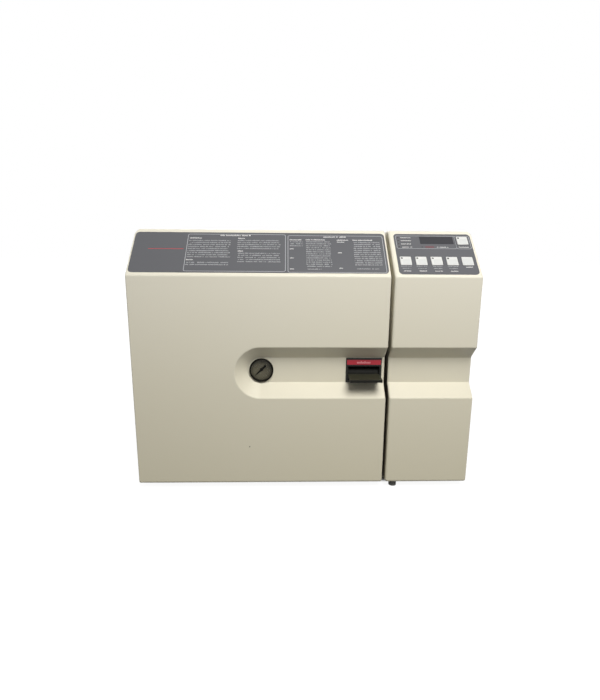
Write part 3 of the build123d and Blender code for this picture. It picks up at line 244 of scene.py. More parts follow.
def cover_finish(name, colour, grain):
    """Cream moulded plastic: fine spark texture and one scuff, with painted shade that makes it
    darker and yellower towards the bottom and dark deep in the seam
    """
    # Painted shade begins below this height
    shade_start_height = 330 * MM
    speck = Vector((-83.6 * MM, COVER_LOW.y, 70.7 * MM))
    speck_radius = 1.1 * MM
    seam_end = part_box("column_cover")[0].x
    seam = (COVER_HIGH.x + seam_end) / 2
    seam_shade_reach = (seam_end - COVER_HIGH.x) / 2 + 0.4 * MM
    seam_shade_below = 285 * MM

    # Growth of the painted seam shade for each metre into the seam and down it, and the most that it
    # covers
    seam_shade_inward = 60
    seam_shade_downward = 9
    seam_shade_most = 0.85
    graph = start_finish(name)
    still = graph.place()
    across, inward, height = [graph.split(still, axis) for axis in range(3)]
    clouds = graph.noise(still, 4.0, detail=5.0, rough=0.6)
    spark = graph.noise(still, 1500.0, detail=3.0, rough=0.6)
    swell = graph.noise(still, 35.0, detail=2.0)
    # Painted shade: the cream turns darker and yellower towards the bottom; the clouds also mix in
    # some of this tone at random
    cloud_and_shade_tone = (colour[0] * 0.93, colour[1] * 0.9, colour[2] * 0.78)
    low = ((shade_start_height - height) / shade_start_height).math("MAXIMUM", 0)
    tone = graph.mix(clouds * 0.3 + low * 0.7, colour, cloud_and_shade_tone)
    tone = graph.mix(spark * 0.06, tone, tinted(colour, 0.8))
    scuffed = graph.distance(still, speck) < speck_radius
    tone = graph.mix(scuffed * 0.75, tone, srgb(92, 84, 66))
    beside = (across - seam).math("ABSOLUTE") < seam_shade_reach
    inside = ((inward - COVER_LOW.y) * seam_shade_inward).math("MINIMUM", seam_shade_most)
    lower = ((seam_shade_below - height) * seam_shade_downward).clamped()
    # Painted shade: the seam's walls turn dark brown deeper in and lower down, where the gap lies in
    # shadow
    tone = graph.mix(beside * inside * lower, tone, srgb(40, 30, 27))
    gloss = (clouds - 0.5) * 0.1 + spark * 0.06 + 0.4
    ripple = graph.bump(0.12, 0.4 * MM, swell)
    bump = graph.bump(grain, 0.06 * MM, spark, Normal=ripple)
    end_finish(graph, tone, gloss, bump, Specular_IOR_Level=0.45)


def turned_finish(name, colour, centre):
    """Sheet steel turned on a lathe: fine rings round an axis along Y"""
    graph = start_finish(name)
    away = graph.distance(graph.place((1, 0, 1), centre))
    sockets = {"W": away, "Scale": 1400.0, "Detail": 3.0}
    rings = graph.node("ShaderNodeTexNoise", {"noise_dimensions": "1D"}, sockets)
    smear = graph.noise(graph.place(), 22.0)
    tone = graph.mix(rings, tinted(colour, 0.86), tinted(colour, 1.06))
    gloss = rings * 0.1 + smear * 0.12 + 0.22
    end_finish(graph, tone, gloss, graph.bump(0.25, 0.04 * MM, rings), Metallic=1.0)


def lever_finish(name, colour, painted_sheen, top, front):
    """Black moulded lever whose thumb face, above top and before front, carries a painted sheen: a
    lighter olive tone in place of the light reflected off its top
    """
    graph = start_finish(name)
    still = graph.place()
    face = (graph.split(still, 2) > top) * (graph.split(still, 1) < front)
    patches = graph.noise(still, 90.0)
    fine = graph.noise(still, 1400.0)
    tone = graph.mix(fine, tinted(colour, 0.85), tinted(colour, 1.2))
    # Painted sheen: the thumb face is turned a patchy lighter olive, standing in for light reflected
    # off its top
    tone = graph.mix(face * (patches * 0.5 + 0.6), tone, painted_sheen)
    gloss = 0.6 - face * 0.2 + fine * 0.06
    end_finish(graph, tone, gloss, graph.bump(0.25, 0.06 * MM, fine), Specular_IOR_Level=0.15)


def board_finish(name, colour):
    """Circuit board: solder mask with faint tracks and pads"""
    tracks_per_metre = 900
    track_share = 0.35
    pad_radius = 0.12
    graph = start_finish(name)
    still = graph.place()
    sockets = {"Vector": still, "Scale": 260.0}
    cells = graph.node("ShaderNodeTexVoronoi", {"distance": "MANHATTAN"}, sockets, "Distance")
    tracks = (graph.split(still, 1) * tracks_per_metre).math("FRACT")
    lines = (tracks < track_share) * (graph.noise(still, 60.0, detail=0.0) > 0.52)
    pads = cells < pad_radius
    tone = graph.mix(lines * 0.5, colour, tinted(colour, 2.2))
    tone = graph.mix(pads, tone, srgb(190, 180, 150))
    end_finish(graph, tone, 0.35 - pads * 0.1, graph.bump(0.3, 0.1 * MM, lines + pads))


def fibre_finish(name, colour):
    """Insulating blanket: matted fibres with soft pits"""
    graph = start_finish(name)
    warp = graph.noise(graph.place((1, 0.15, 1)), 420.0, detail=4.0, rough=0.7)
    weft = graph.noise(graph.place((0.15, 1, 0.15)), 420.0, detail=4.0, rough=0.7)
    pits = graph.noise(graph.place(), 28.0, detail=2.0)
    fibres = (warp + weft) / 2
    tone = graph.mix(fibres, tinted(colour, 0.7), tinted(colour, 1.12))
    bump = graph.bump(0.8, 1.5 * MM, fibres * 0.6 + pits)
    end_finish(graph, tone, 0.92 + fibres * 0.05, bump)


def winding_finish(name, colour, pitch):
    """Wound coil or striped heater: fine turns along the height"""
    graph = start_finish(name)
    still = graph.place()
    turns = ((graph.split(still, 2) / pitch).math("FRACT") - 0.5).math("ABSOLUTE") * 2
    clouds = graph.noise(still, 40.0)
    tone = graph.mix(turns, tinted(colour, 0.55), tinted(colour, 1.1))
    end_finish(graph, tone, 0.45 + clouds * 0.2, graph.bump(0.7, pitch / 3, turns))


def glass_finish(name, colour, roughness, alpha):
    """Clear or smoked window with faint dust"""
    graph = start_finish(name)
    dust = graph.noise(graph.place(), 300.0, detail=4.0, rough=0.7)
    tone = graph.mix(dust * 0.1, colour, tinted(colour, 1.3))
    end_finish(graph, tone, dust * 0.08 + roughness, Alpha=alpha, Specular_IOR_Level=0.25)


def dial_finish(name, colour, centre):
    """Gauge dial: satin plate with painted light and shade, lighter low on the left and darker up on
    the right, and darker round its rim
    """
    rim_radius = 12.8 * MM
    painted_shade_per_metre = 24
    graph = start_finish(name)
    still = graph.place()
    mottle = graph.noise(still, 700.0, detail=4.0)
    rise = graph.split(still, 0) - centre.x + graph.split(still, 2) - centre.z
    # Painted light and shade: lighter low on the left, darker up on the right
    tone = graph.mix(0.5 - rise * painted_shade_per_metre, tinted(colour, 0.6), tinted(colour, 1.35))
    tone = graph.mix(mottle * 0.2, tone, tinted(colour, 0.7))
    rim = graph.distance(still, centre) > rim_radius
    tone = graph.mix(rim * 0.5, tone, tinted(colour, 0.6))
    end_finish(graph, tone, 0.5 + mottle * 0.1, graph.bump(0.15, 0.1 * MM, mottle))


def dress(finish, *nodes):
    """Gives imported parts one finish"""
    for name in nodes:
        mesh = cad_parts[name].data
        mesh.materials.clear()
        mesh.materials.append(finishes[finish])


def mesh_of(shape):
    """The mesh of a shape that is then let go"""
    mesh = bpy.data.meshes.new("shape")
    shape.to_mesh(mesh)
    shape.free()
    return mesh


def finished(parts, name, body, finish):
    """Joins meshes, each given with its place, to one piece that moves with a body"""
    whole = bmesh.new()
    for mesh, place in parts:
        start = len(whole.verts)
        whole.from_mesh(mesh)
        whole.verts.ensure_lookup_table()
        bmesh.ops.transform(whole, matrix=place, verts=whole.verts[start:])
    bmesh.ops.recalc_face_normals(whole, faces=whole.faces)
    mesh = mesh_of(whole)
    if not mesh.polygons:
        raise RuntimeError(f"{name} came out empty")
    mesh.name = name
    mesh.materials.append(finishes[finish])
    piece = bpy.data.objects.new(name, mesh)
    bpy.context.scene.collection.objects.link(piece)
    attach(piece, body)


def rounded_points(x0, x1, y0, y1, corner):
    """Outline of a rectangle with rounded corners"""
    points = []
    centres = (
        (x1 - corner, y1 - corner, 0),
        (x0 + corner, y1 - corner, 90),
        (x0 + corner, y0 + corner, 180),
        (x1 - corner, y0 + corner, 270),
    )
    for x, y, first in centres:
        for step in range(CORNER_STEPS + 1):
            angle = math.radians(first + 90 * step / CORNER_STEPS)
            points.append((x + corner * math.cos(angle), y + corner * math.sin(angle)))
    return points


def disc_points(x, y, radius):
    """Outline of a disc"""
    turns = [math.tau * step / DISC_STEPS for step in range(DISC_STEPS)]
    return [(x + radius * math.cos(turn), y + radius * math.sin(turn)) for turn in turns]


def wall(shape, first, second):
    """Faces between two rings of vertices"""
    count = len(first)
    for place in range(count):
        after = (place + 1) % count
        shape.faces.new((first[place], first[after], second[after], second[place]))


def plate_mesh(points, low, high):
    """Flat plate with an outline"""
    shape = bmesh.new()
    foot, top = [[shape.verts.new((x, y, level)) for x, y in points] for level in (low, high)]
    shape.faces.new(top)
    shape.faces.new(reversed(foot))
    wall(shape, foot, top)
    return mesh_of(shape)


def ring_mesh(outer, inner, low, high):
    """Flat ring between two outlines with the same number of points"""
    shape = bmesh.new()
    rings = []
    for points, level in ((outer, low), (outer, high), (inner, high), (inner, low)):
        rings.append([shape.verts.new((x, y, level)) for x, y in points])
    for first, second in zip(rings, rings[1:] + rings[:1]):
        wall(shape, first, second)
    return mesh_of(shape)


def slope_points(x0, x1, s0, s1, corner):
    """Rounded outline on the slope, from sizes in millimetres"""
    return rounded_points(x0 * MM, x1 * MM, s0 * MM, s1 * MM, corner * MM)


def slope_plate(x0, x1, s0, s1, corner):
    """Rounded patch of ink on the slope, as a mesh and its place"""
    points = slope_points(x0, x1, s0, s1, corner)
    return plate_mesh(points, LABEL_TOP - OVERLAP, LABEL_TOP + INK), SLOPE


def slope_outline(x0, x1, s0, s1, corner, line):
    """Rounded outline of ink on the slope, as a mesh and its place"""
    outer = slope_points(x0, x1, s0, s1, corner)
    inner = slope_points(x0 + line, x1 - line, s0 + line, s1 - line, corner - line)
    return ring_mesh(outer, inner, LABEL_TOP - OVERLAP, LABEL_TOP + INK), SLOPE


def extent(points):
    """Lowest and highest corner of some points"""
    low = Vector([min(point[axis] for point in points) for axis in range(3)])
    high = Vector([max(point[axis] for point in points) for axis in range(3)])
    return low, high


class Pattern:
    """Geometry node tree that repeats a small shape, with named inputs"""

    def __init__(self, name, sizes, counts=(), on_points=False):
        """Inputs are numbers, whole numbers, a material and points to stand on, if asked for"""
        self.tree = bpy.data.node_groups.new(name, "GeometryNodeTree")
        self.tree.is_modifier = True
        self.graph = Graph(self.tree)
        inputs = {"Geometry": "Geometry"} if on_points else {}
        inputs.update(dict.fromkeys(sizes, "Float"))
        inputs.update(dict.fromkeys(counts, "Int"))
        inputs["Material"] = "Material"
        self.sockets = {}
        for label, kind in inputs.items():
            self.sockets[label] = self.new_socket(label, "INPUT", kind).identifier
        self.new_socket("Geometry", "OUTPUT", "Geometry")
        self.wires = {label: self.graph.node("NodeGroupInput", out=label) for label in inputs}

    def new_socket(self, label, way, kind):
        interface = self.tree.interface
        return interface.new_socket(name=label, in_out=way, socket_type=f"NodeSocket{kind}")

    def block(self, *sizes):
        """A box of three sizes"""
        return self.graph.node("GeometryNodeMeshCube", None, {"Size": self.graph.vector(*sizes)})

    def repeat(self, points, shape, **others):
        """Ends the tree with the shape on every point, as real geometry with its material"""
        sockets = {"Points": points, "Instance": shape, **others}
        placed = self.graph.node("GeometryNodeInstanceOnPoints", None, sockets)
        real = self.graph.node("GeometryNodeRealizeInstances", None, {0: placed})
        sockets = {"Geometry": real, "Material": self.wires["Material"]}
        painted = self.graph.node("GeometryNodeSetMaterial", None, sockets)
        self.graph.node("NodeGroupOutput", None, {0: painted})
        return self

    def grow(self, finish, values, seed_mesh=None):
        """The plain mesh that the tree makes with these values"""
        mesh = seed_mesh or bpy.data.meshes.new("seed")
        holder = bpy.data.objects.new("holder", mesh)
        bpy.context.scene.collection.objects.link(holder)
        modifier = holder.modifiers.new("grow", "NODES")
        modifier.node_group = self.tree
        modifier[self.sockets["Material"]] = finishes[finish]
        for label, value in values.items():
            modifier[self.sockets[label]] = value
        holder.update_tag()
        graph = bpy.context.evaluated_depsgraph_get()
        result = bpy.data.meshes.new_from_object(holder.evaluated_get(graph))
        bpy.data.objects.remove(holder)
        return result


def print_pattern():
    """Rows of small ink marks that read as fine print from a distance"""
    tall_share = 0.35
    short_mark = 0.7
    narrow_mark = 0.6
    sizes = ("Width", "Pitch", "Mark width", "Mark height", "Ink", "Gaps", "Ragged")
    pattern = Pattern("printed_rows", sizes, ("Rows", "Columns", "Seed"))
    graph = pattern.graph
    wires = pattern.wires
    sockets = {
        "Size X": wires["Width"],
        "Size Y": (wires["Rows"] - 1) * wires["Pitch"],
        "Vertices X": wires["Columns"],
        "Vertices Y": wires["Rows"],
    }
    grid = graph.node("GeometryNodeMeshGrid", None, sockets)
    where = graph.node("GeometryNodeInputPosition")
    across = graph.split(where, 0)
    up = graph.split(where, 1)

    # Every row and every mark gets a whole number of its own, above 0, for its draws
    lowest_row = 50
    lowest_column = 150
    column_steps = 200
    row_step = 512
    row = (up / wires["Pitch"] + lowest_row).math("ROUND")
    column = (across / wires["Width"] * column_steps + lowest_column).math("ROUND")
    mark = row * row_step + column

    def chance(low, seed, base):
        """A number from low to 1, drawn anew for each base"""
        sockets = {2: low, 3: 1.0, 7: base, 8: wires["Seed"] + seed}
        return graph.node("FunctionNodeRandomValue", {"data_type": "FLOAT"}, sockets, 1)

    printed = chance(0.0, 1, mark) > wires["Gaps"]
    end = wires["Width"] * (0.5 - chance(0.0, 2, row) * wires["Ragged"])
    kept = printed * (across < end + 0.1 * MM)
    tall = (chance(0.0, 3, mark) < tall_share) * (1 - short_mark) + short_mark
    wide = chance(narrow_mark, 4, mark)
    drop = (tall - 1) * wires["Mark height"] / 2
    sockets = {"Geometry": grid, "Offset": graph.vector(y=drop)}
    moved = graph.node("GeometryNodeSetPosition", None, sockets)
    block = pattern.block(wires["Mark width"], wires["Mark height"], wires["Ink"])
    return pattern.repeat(moved, block, Selection=kept, Scale=graph.vector(wide, tall, 1.0))


def tick_pattern():
    """Ticks round a dial, every so many of them longer and broader"""
    short_length = 0.55
    short_width = 0.7
    long_width = 1.3
    sizes = ("Radius", "Start", "Sweep", "Length", "Width", "Ink")
    pattern = Pattern("dial_ticks", sizes, ("Count", "Long every"))
    graph = pattern.graph
    wires = pattern.wires
    sockets = {"Count": wires["Count"], "Offset": (0, 0, 0)}
    line = graph.node("GeometryNodeMeshLine", None, sockets)
    place = graph.node("GeometryNodeInputIndex")
    angle = wires["Start"] + wires["Sweep"] * place / (wires["Count"] - 1)
    long = (place % wires["Long every"]) < 0.5
    share = long * (1 - short_length) + short_length
    middle = wires["Radius"] - wires["Length"] * share / 2
    spot = graph.vector(angle.math("COSINE") * middle, angle.math("SINE") * middle)
    ring = graph.node("GeometryNodeSetPosition", None, {"Geometry": line, "Position": spot})
    tick = pattern.block(wires["Length"], wires["Width"], wires["Ink"])
    scale = graph.vector(share, long * (long_width - short_width) + short_width, 1.0)
    return pattern.repeat(ring, tick, Rotation=graph.vector(z=angle), Scale=scale)


def cross_pattern():
    """Cross recess on every screw head, turned to face out along the point's way attribute"""
    most_turn = 1.57
    pattern = Pattern("screw_crosses", ("Arm", "Slot", "Depth"), ("Seed",), on_points=True)
    graph = pattern.graph
    wires = pattern.wires
    bars = []
    for first, second in (("Arm", "Slot"), ("Slot", "Arm")):
        bars.append(pattern.block(wires[first], wires[second], wires["Depth"]))
    cross = graph.node("GeometryNodeJoinGeometry", None, {0: bars})
    settings = {"data_type": "FLOAT_VECTOR"}
    way = graph.node("GeometryNodeInputNamedAttribute", settings, {"Name": "way"})
    facing = graph.node("FunctionNodeAlignRotationToVector", {"axis": "Z"}, {"Vector": way})
    sockets = {2: 0.0, 3: most_turn, 8: wires["Seed"]}
    chance = graph.node("FunctionNodeRandomValue", {"data_type": "FLOAT"}, sockets, 1)
    sockets = {"Rotation": facing, "Rotate By": graph.vector(z=chance)}
    turned = graph.node("FunctionNodeRotateRotation", {"rotation_space": "LOCAL"}, sockets)
    return pattern.repeat(wires["Geometry"], cross, Rotation=turned)


def rivet_pattern():
    """Four domed rivets at the corners of a plate"""
    pattern = Pattern("corner_rivets", ("Length", "Height", "Radius"))
    graph = pattern.graph
    wires = pattern.wires
    sockets = {"Size X": wires["Length"], "Size Y": wires["Height"], "Vertices X": 2, "Vertices Y": 2}
    corners = graph.node("GeometryNodeMeshGrid", None, sockets)
    sockets = {"Segments": 16, "Rings": 8, "Radius": wires["Radius"]}
    dome = graph.node("GeometryNodeMeshUVSphere", None, sockets)
    return pattern.repeat(corners, dome, Scale=(1, 1, 0.6))


class Printer:
    """Prints rows of small marks on a face; places and widths along it are in millimetres"""

    def __init__(self, settings, face, level):
        self.pattern = print_pattern()
        self.settings = settings
        self.face = face
        self.level = level

    def rows(self, ink, x0, x1, top, seed, rows=1, height=1.0, gaps=0.14, ragged=0.06):
        """Rows from x0 to x1, the first at top, their marks scaled by height, and their place"""
        width = (x1 - x0) * MM
        step = self.settings.mark_step * height
        pitch = self.settings.line_pitch
        values = {
            "Width": width,
            "Rows": rows,
            "Pitch": pitch,
            "Columns": max(2, round(width / step) + 1),
            "Mark width": step * 0.8,
            "Mark height": self.settings.mark_height * height,
            "Ink": INK_DEPTH,
            "Gaps": gaps,
            "Ragged": ragged,
            "Seed": seed,
        }
        up = top * MM - (rows - 1) * pitch / 2
        middle = Vector(((x0 + x1) / 2 * MM, up, self.level + INK_MIDDLE))
        return self.pattern.grow(ink, values), self.face @ Matrix.Translation(middle)

    def caption(self, ink, x0, x1, top, seed, height, gaps):
        """One row that ends evenly"""
        return self.rows(ink, x0, x1, top, seed, height=height, gaps=gaps, ragged=0.0)


def colour_setting(name, description, colour):
    """A colour that a user can change"""
    return bpy.props.FloatVectorProperty(
        name=name, description=description, default=colour, size=3, min=0, max=1, subtype="COLOR"
    )


class CoverSettings(bpy.types.PropertyGroup):
    """Colours and grain of the covers"""

    plastic: colour_setting(
        "Moulded covers", "Colour of the door and column mouldings", srgb(233, 229, 214)
    )
    paint: colour_setting("Painted case", "Colour of the painted sheet metal", srgb(222, 218, 203))
    grain: bpy.props.FloatProperty(
        name="Grain",
        description="Strength of the moulded grain",
        default=0.3,
        min=0,
        max=1,
        subtype="FACTOR",
    )


class PrintSettings(bpy.types.PropertyGroup):
    """Labels on the slope and what is printed on them"""

    film: colour_setting("Film", "Colour of the printed labels", srgb(86, 87, 91))
    line_pitch: bpy.props.FloatProperty(
        name="Line pitch",
        description="Distance between rows of print",
        default=4.1 * MM,
        unit="LENGTH",
    )
    mark_height: bpy.props.FloatProperty(
        name="Mark height",
        description="Height of a tall mark of print",
        default=2.2 * MM,
        unit="LENGTH",
    )
    mark_step: bpy.props.FloatProperty(
        name="Mark step",
        description="Distance between marks of print",
        default=1.15 * MM,
        unit="LENGTH",
    )
    outline: bpy.props.FloatProperty(
        name="Outline",
        description="Width of the printed outlines in millimetres",
        default=0.75,
        min=0.1,
        max=3,
    )


class GaugeSettings(bpy.types.PropertyGroup):
    """Marks of the pressure gauge"""

    ticks: bpy.props.IntProperty(
        name="Ticks", description="Number of ticks round the dial", default=41, min=2, max=200
    )
    sweep: bpy.props.FloatProperty(
        name="Sweep",
        description="Angle from the first tick to the last",
        default=math.radians(270),
        unit="ROTATION",
    )
    numeral: bpy.props.FloatProperty(
        name="Numeral", description="Height of the numbers", default=3.1 * MM, unit="LENGTH"
    )


class StageSettings(bpy.types.PropertyGroup):
    """Light and camera"""

    lens: bpy.props.FloatProperty(
        name="Lens", description="Focal length in millimetres", default=25.19, min=5, max=200
    )
    front_light: bpy.props.FloatProperty(
        name="Front light",
        description="Power of the light above the front",
        default=16.5,
        unit="POWER",
    )
    back_light: bpy.props.FloatProperty(
        name="Back light",
        description="Power of the light above the back",
        default=7.0,
        unit="POWER",
    )
    side_light: bpy.props.FloatProperty(
        name="Side light",
        description="Power of the light on either side",
        default=5.0,
        unit="POWER",
    )
    surroundings: bpy.props.FloatProperty(
        name="Surroundings",
        description="Strength of the light from all round",
        default=0.22,
        min=0,
        max=2,
    )


class STERILISER_OT_covers(bpy.types.Operator):
    """Finish the moulded covers, the painted case, the feet and the plated steel"""

    bl_idname = "steriliser.covers"
    bl_label = "Covers and case"

    def execute(self, context):
        settings = context.scene.steriliser_covers
        cover_finish("cream_plastic", tuple(settings.plastic), settings.grain)
        paint = tuple(settings.paint)
        paint_grain = {"grain": 0.35, "grain_scale": 420.0, "depth": 0.12 * MM}
        grained("cream_paint", paint, 0.42, cloud=0.03, spread=0.1, **paint_grain)
        grained("rubber", srgb(104, 104, 100), 0.8, cloud=0.12, grain=0.4, grain_scale=1200.0)
        zinc = srgb(140, 142, 140)
        grained("zinc_steel", zinc, 0.36, cloud=0.1, cloud_scale=60.0, grain=0.15, Metallic=0.9)
        dress("cream_plastic", "door_cover", "column_cover")
        dress("cream_paint", "case_wrap", "rear_panel")
        dress("rubber", "feet")
        dress("zinc_steel", "base_pan", "bulkhead", "cabinet_screws", "liner_posts", "rear_saddle")
        dress("zinc_steel", "hinge_door_leaves", "hinge_case_leaves", "latch_keeper", "latch_hook")
        return {"FINISHED"}


def screw_places():
    """Centre of each case screw's head and the way it faces, read from their loose shapes"""
    low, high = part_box("case_wrap")
    shape = bmesh.new()
    shape.from_mesh(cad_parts["cabinet_screws"].data)
    bmesh.ops.remove_doubles(shape, verts=shape.verts, dist=1e-6)
    shape.verts.ensure_lookup_table()
    seen = set()
    places = []
    for start in shape.verts:
        if start.index in seen:
            continue
        seen.add(start.index)
        group = []
        todo = [start]
        while todo:
            vertex = todo.pop()
            group.append(vertex.co)
            for edge in vertex.link_edges:
                other = edge.other_vert(vertex)
                if other.index not in seen:
                    seen.add(other.index)
                    todo.append(other)
        first, last = extent(group)
        centre = (first + last) / 2
        if last.y > high.y:
            places.append((Vector((centre.x, last.y, centre.z)), Vector((0, 1, 0))))
        elif centre.x < (low.x + high.x) / 2:
            places.append((Vector((first.x, centre.y, centre.z)), Vector((-1, 0, 0))))
        else:
            places.append((Vector((last.x, centre.y, centre.z)), Vector((1, 0, 0))))
    shape.free()
    return places


class STERILISER_OT_screws(bpy.types.Operator):
    """Mark the cross recess of every case screw"""

    bl_idname = "steriliser.screws"
    bl_label = "Screw recesses"

    def execute(self, context):
        grained("screw_recess", srgb(40, 40, 40), 0.6, Metallic=0.6)
        spots, facings = zip(*screw_places())
        heads = bpy.data.meshes.new("screw_heads")
        heads.from_pydata(spots, [], [])
        ways = heads.attributes.new("way", "FLOAT_VECTOR", "POINT")
        for way, facing in zip(ways.data, facings):
            way.vector = facing
        values = {"Arm": 3.6 * MM, "Slot": 0.8 * MM, "Depth": 0.1 * MM, "Seed": 4}
        crosses = cross_pattern().grow("screw_recess", values, heads)
        finished([(crosses, Matrix())], "screw_recesses", "case", "screw_recess")
        return {"FINISHED"}


class STERILISER_OT_door_works(bpy.types.Operator):
    """Finish the liner, the closing beam, the pressure plate, the gasket and the pins"""

    bl_idname = "steriliser.door_works"
    bl_label = "Door works"

    def execute(self, context):
        aluminium = srgb(156, 158, 160)
        brushed = {"cloud": 0.06, "grain": 0.3, "grain_scale": 500.0, "stretch": (1, 1, 0.05)}
        grained("aluminium", aluminium, 0.34, Metallic=1.0, **brushed)
        steel = srgb(172, 173, 172)
        grained("polished_steel", steel, 0.16, cloud=0.04, grain=0.05, spread=0.06, Metallic=1.0)
        grained("silicone", srgb(176, 72, 50), 0.55, cloud=0.08, grain=0.2, grain_scale=700.0)
        low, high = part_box("pressure_plate")
        turned_finish("turned_steel", srgb(160, 162, 162), (low + high) / 2)
        iron = srgb(118, 120, 120)
        rough = {"grain": 0.5, "grain_scale": 350.0, "depth": 0.2 * MM}
        grained("cast_beam", iron, 0.45, cloud=0.1, cloud_scale=40.0, Metallic=0.85, **rough)
        dress("aluminium", "door_liner")
        dress("cast_beam", "strongback")
        dress("polished_steel", "hinge_pins", "latch_shaft", "plate_fixings")
        dress("turned_steel", "pressure_plate")
        dress("silicone", "door_gasket")
        return {"FINISHED"}


class STERILISER_OT_chamber(bpy.types.Operator):
    """Finish the chamber, its jacket and the trays"""

    bl_idname = "steriliser.chamber"
    bl_label = "Chamber"

    def execute(self, context):
        steel = srgb(182, 184, 184)
        drawn = {"grain": 0.1, "grain_scale": 700.0, "stretch": (1, 0.03, 1)}
        grained("stainless", steel, 0.34, Metallic=0.75, **drawn)
        fibre_finish("insulation", srgb(214, 205, 178))
        winding_finish("heater", srgb(186, 120, 70), 4 * MM)
        dress("stainless", "chamber", "tray_rack", "tray_lower", "tray_upper")
        dress("insulation", "chamber_insulation")
        dress("heater", "heater_bands")
        return {"FINISHED"}


class STERILISER_OT_services(bpy.types.Operator):
    """Finish the water tank, the pipes and the valves"""

    bl_idname = "steriliser.services"
    bl_label = "Water and steam"

    def execute(self, context):
        milky = {"Subsurface_Weight": 0.2, "Subsurface_Radius": (0.01, 0.01, 0.01)}
        grained("tank_plastic", srgb(206, 208, 204), 0.38, grain=0.2, grain_scale=500.0, **milky)
        grained("black_plastic", srgb(23, 22, 18), 0.36, cloud=0.15, grain=0.22, grain_scale=1400.0)
        tarnish = {"cloud": 0.1, "cloud_scale": 50.0, "grain": 0.15, "spread": 0.12}
        grained("brass", srgb(196, 160, 92), 0.3, Metallic=1.0, **tarnish)
        tarnish = {"cloud": 0.14, "cloud_scale": 45.0, "grain": 0.1, "spread": 0.14}
        grained("copper", srgb(196, 122, 88), 0.3, Metallic=1.0, **tarnish)
        dress("tank_plastic", "water_reservoir")
        dress("black_plastic", "drain_knob")
        dress("cream_plastic", "reservoir_lid")
        dress("polished_steel", "lid_hinge", "relief_lever")
        dress("brass", "relief_valve", "drain_cock")
        dress("copper", "copper_lines")
        return {"FINISHED"}


class STERILISER_OT_electrics(bpy.types.Operator):
    """Finish the boards, the transformer, the solenoid valves, the lamps and the rear sockets"""

    bl_idname = "steriliser.electrics"
    bl_label = "Electrics"

    def execute(self, context):
        board_finish("circuit_board", srgb(28, 84, 52))
        winding_finish("coil", srgb(172, 110, 60), 1.5 * MM)
        grained("lamp", srgb(52, 40, 44), 0.3, cloud=0.1, grain=0.05)
        grained("rocker", srgb(24, 24, 24), 0.3, cloud=0.1, grain=0.1)
        dress("circuit_board", "control_board", "display_board")
        dress("coil", "transformer")
        dress("brass", "solenoid_valves")
        dress("lamp", "status_lamps")
        dress("black_plastic", "power_inlet", "fuse_holders")
        dress("rocker", "power_rocker")
        return {"FINISHED"}


class STERILISER_OT_instructions(bpy.types.Operator):
    """Print the instruction label: outlines, headings, rows of fine print and a red rule"""

    bl_idname = "steriliser.instructions"
    bl_label = "Instruction label"

    def execute(self, context):
        settings = context.scene.steriliser_print
        film = {"cloud": 0.04, "cloud_scale": 5.0, "grain": 0.12, "grain_scale": 1600.0}
        grained("grey_label", tuple(settings.film), 0.42, **film)
        grained("pale_ink", srgb(166, 168, 170), 0.5, cloud=0.04, grain=0.1)
        grained("white_ink", srgb(226, 226, 224), 0.5, cloud=0.03, grain=0.1)
        grained("line_ink", srgb(178, 180, 184), 0.5, cloud=0.03, grain=0.1)
        grained("red_ink", srgb(196, 62, 74), 0.45, grain=0.1)
        dress("grey_label", "instruction_plate")
        printer = Printer(settings, SLOPE, LABEL_TOP)
        seed = 10
        seed_step = 7

        # Left end, right end and height of the first row in millimetres, and number of rows
        blocks = (
            (-172, -110, 68.4, 9),
            (-172, -110, 24.5, 2),
            (-100, -36, 69.0, 5),
            (-98.6, -35.7, 43.0, 5),
            (-22.4, -3, 67.2, 3),
            (1.4, 38.1, 67.5, 13),
            (71.9, 112.7, 66.8, 12),
            (3, 22.8, 12.8, 1),
            (74, 106, 14.0, 1),
            (-169, -140, 47.5, 1),
        )
        body = []
        for x0, x1, top, rows in blocks:
            seed += seed_step
            body.append(printer.rows("pale_ink", x0, x1, top, seed, rows, height=0.9))

        # Left end, right end and height of the row in millimetres, and scale of its marks
        headings = (
            (-125.9, -79.5, 79.4, 1.15),
            (-171, -154, 73.6, 1.0),
            (-172, -163, 29.8, 1.0),
            (-99.3, -90.3, 73.4, 1.0),
            (-98.8, -92, 47.6, 1.0),
            (27.9, 61, 77.7, 1.1),
            (-22.7, -6.4, 71.3, 1.0),
            (1.2, 29, 71.6, 1.0),
            (47.9, 64.2, 71.3, 1.0),
            (47.9, 58, 67.3, 0.9),
            (71.7, 100.1, 71.4, 1.0),
            (-22.6, -17.5, 52.7, 0.9),
            (-22.6, -17.5, 34.4, 0.9),
            (-22.6, -17.5, 13.1, 0.9),
            (48, 53, 45.4, 0.9),
            (48.4, 53, 14.9, 0.9),
        )
        long_heading = 25
        bright = []
        for x0, x1, top, height in headings:
            seed += seed_step
            gaps = 0.1 if x1 - x0 > long_heading else 0.0
            bright.append(printer.caption("white_ink", x0, x1, top, seed, height, gaps))

        # Left, right, lower and upper edge and corner radius in millimetres
        outlines = ((-174.5, -29, 7.5, 82, 3.2), (-26, 116.5, 6.2, 80.4, 3.2))
        rule = (-230, -178.5, 50.7, 51.5, 0.35)
        lines = [slope_outline(*edges, settings.outline) for edges in outlines]
        finished(body, "instruction_text", "door", "pale_ink")
        finished(bright, "instruction_headings", "door", "white_ink")
        finished(lines, "instruction_outlines", "door", "line_ink")
        finished([slope_plate(*rule)], "red_rule", "door", "red_ink")
        return {"FINISHED"}


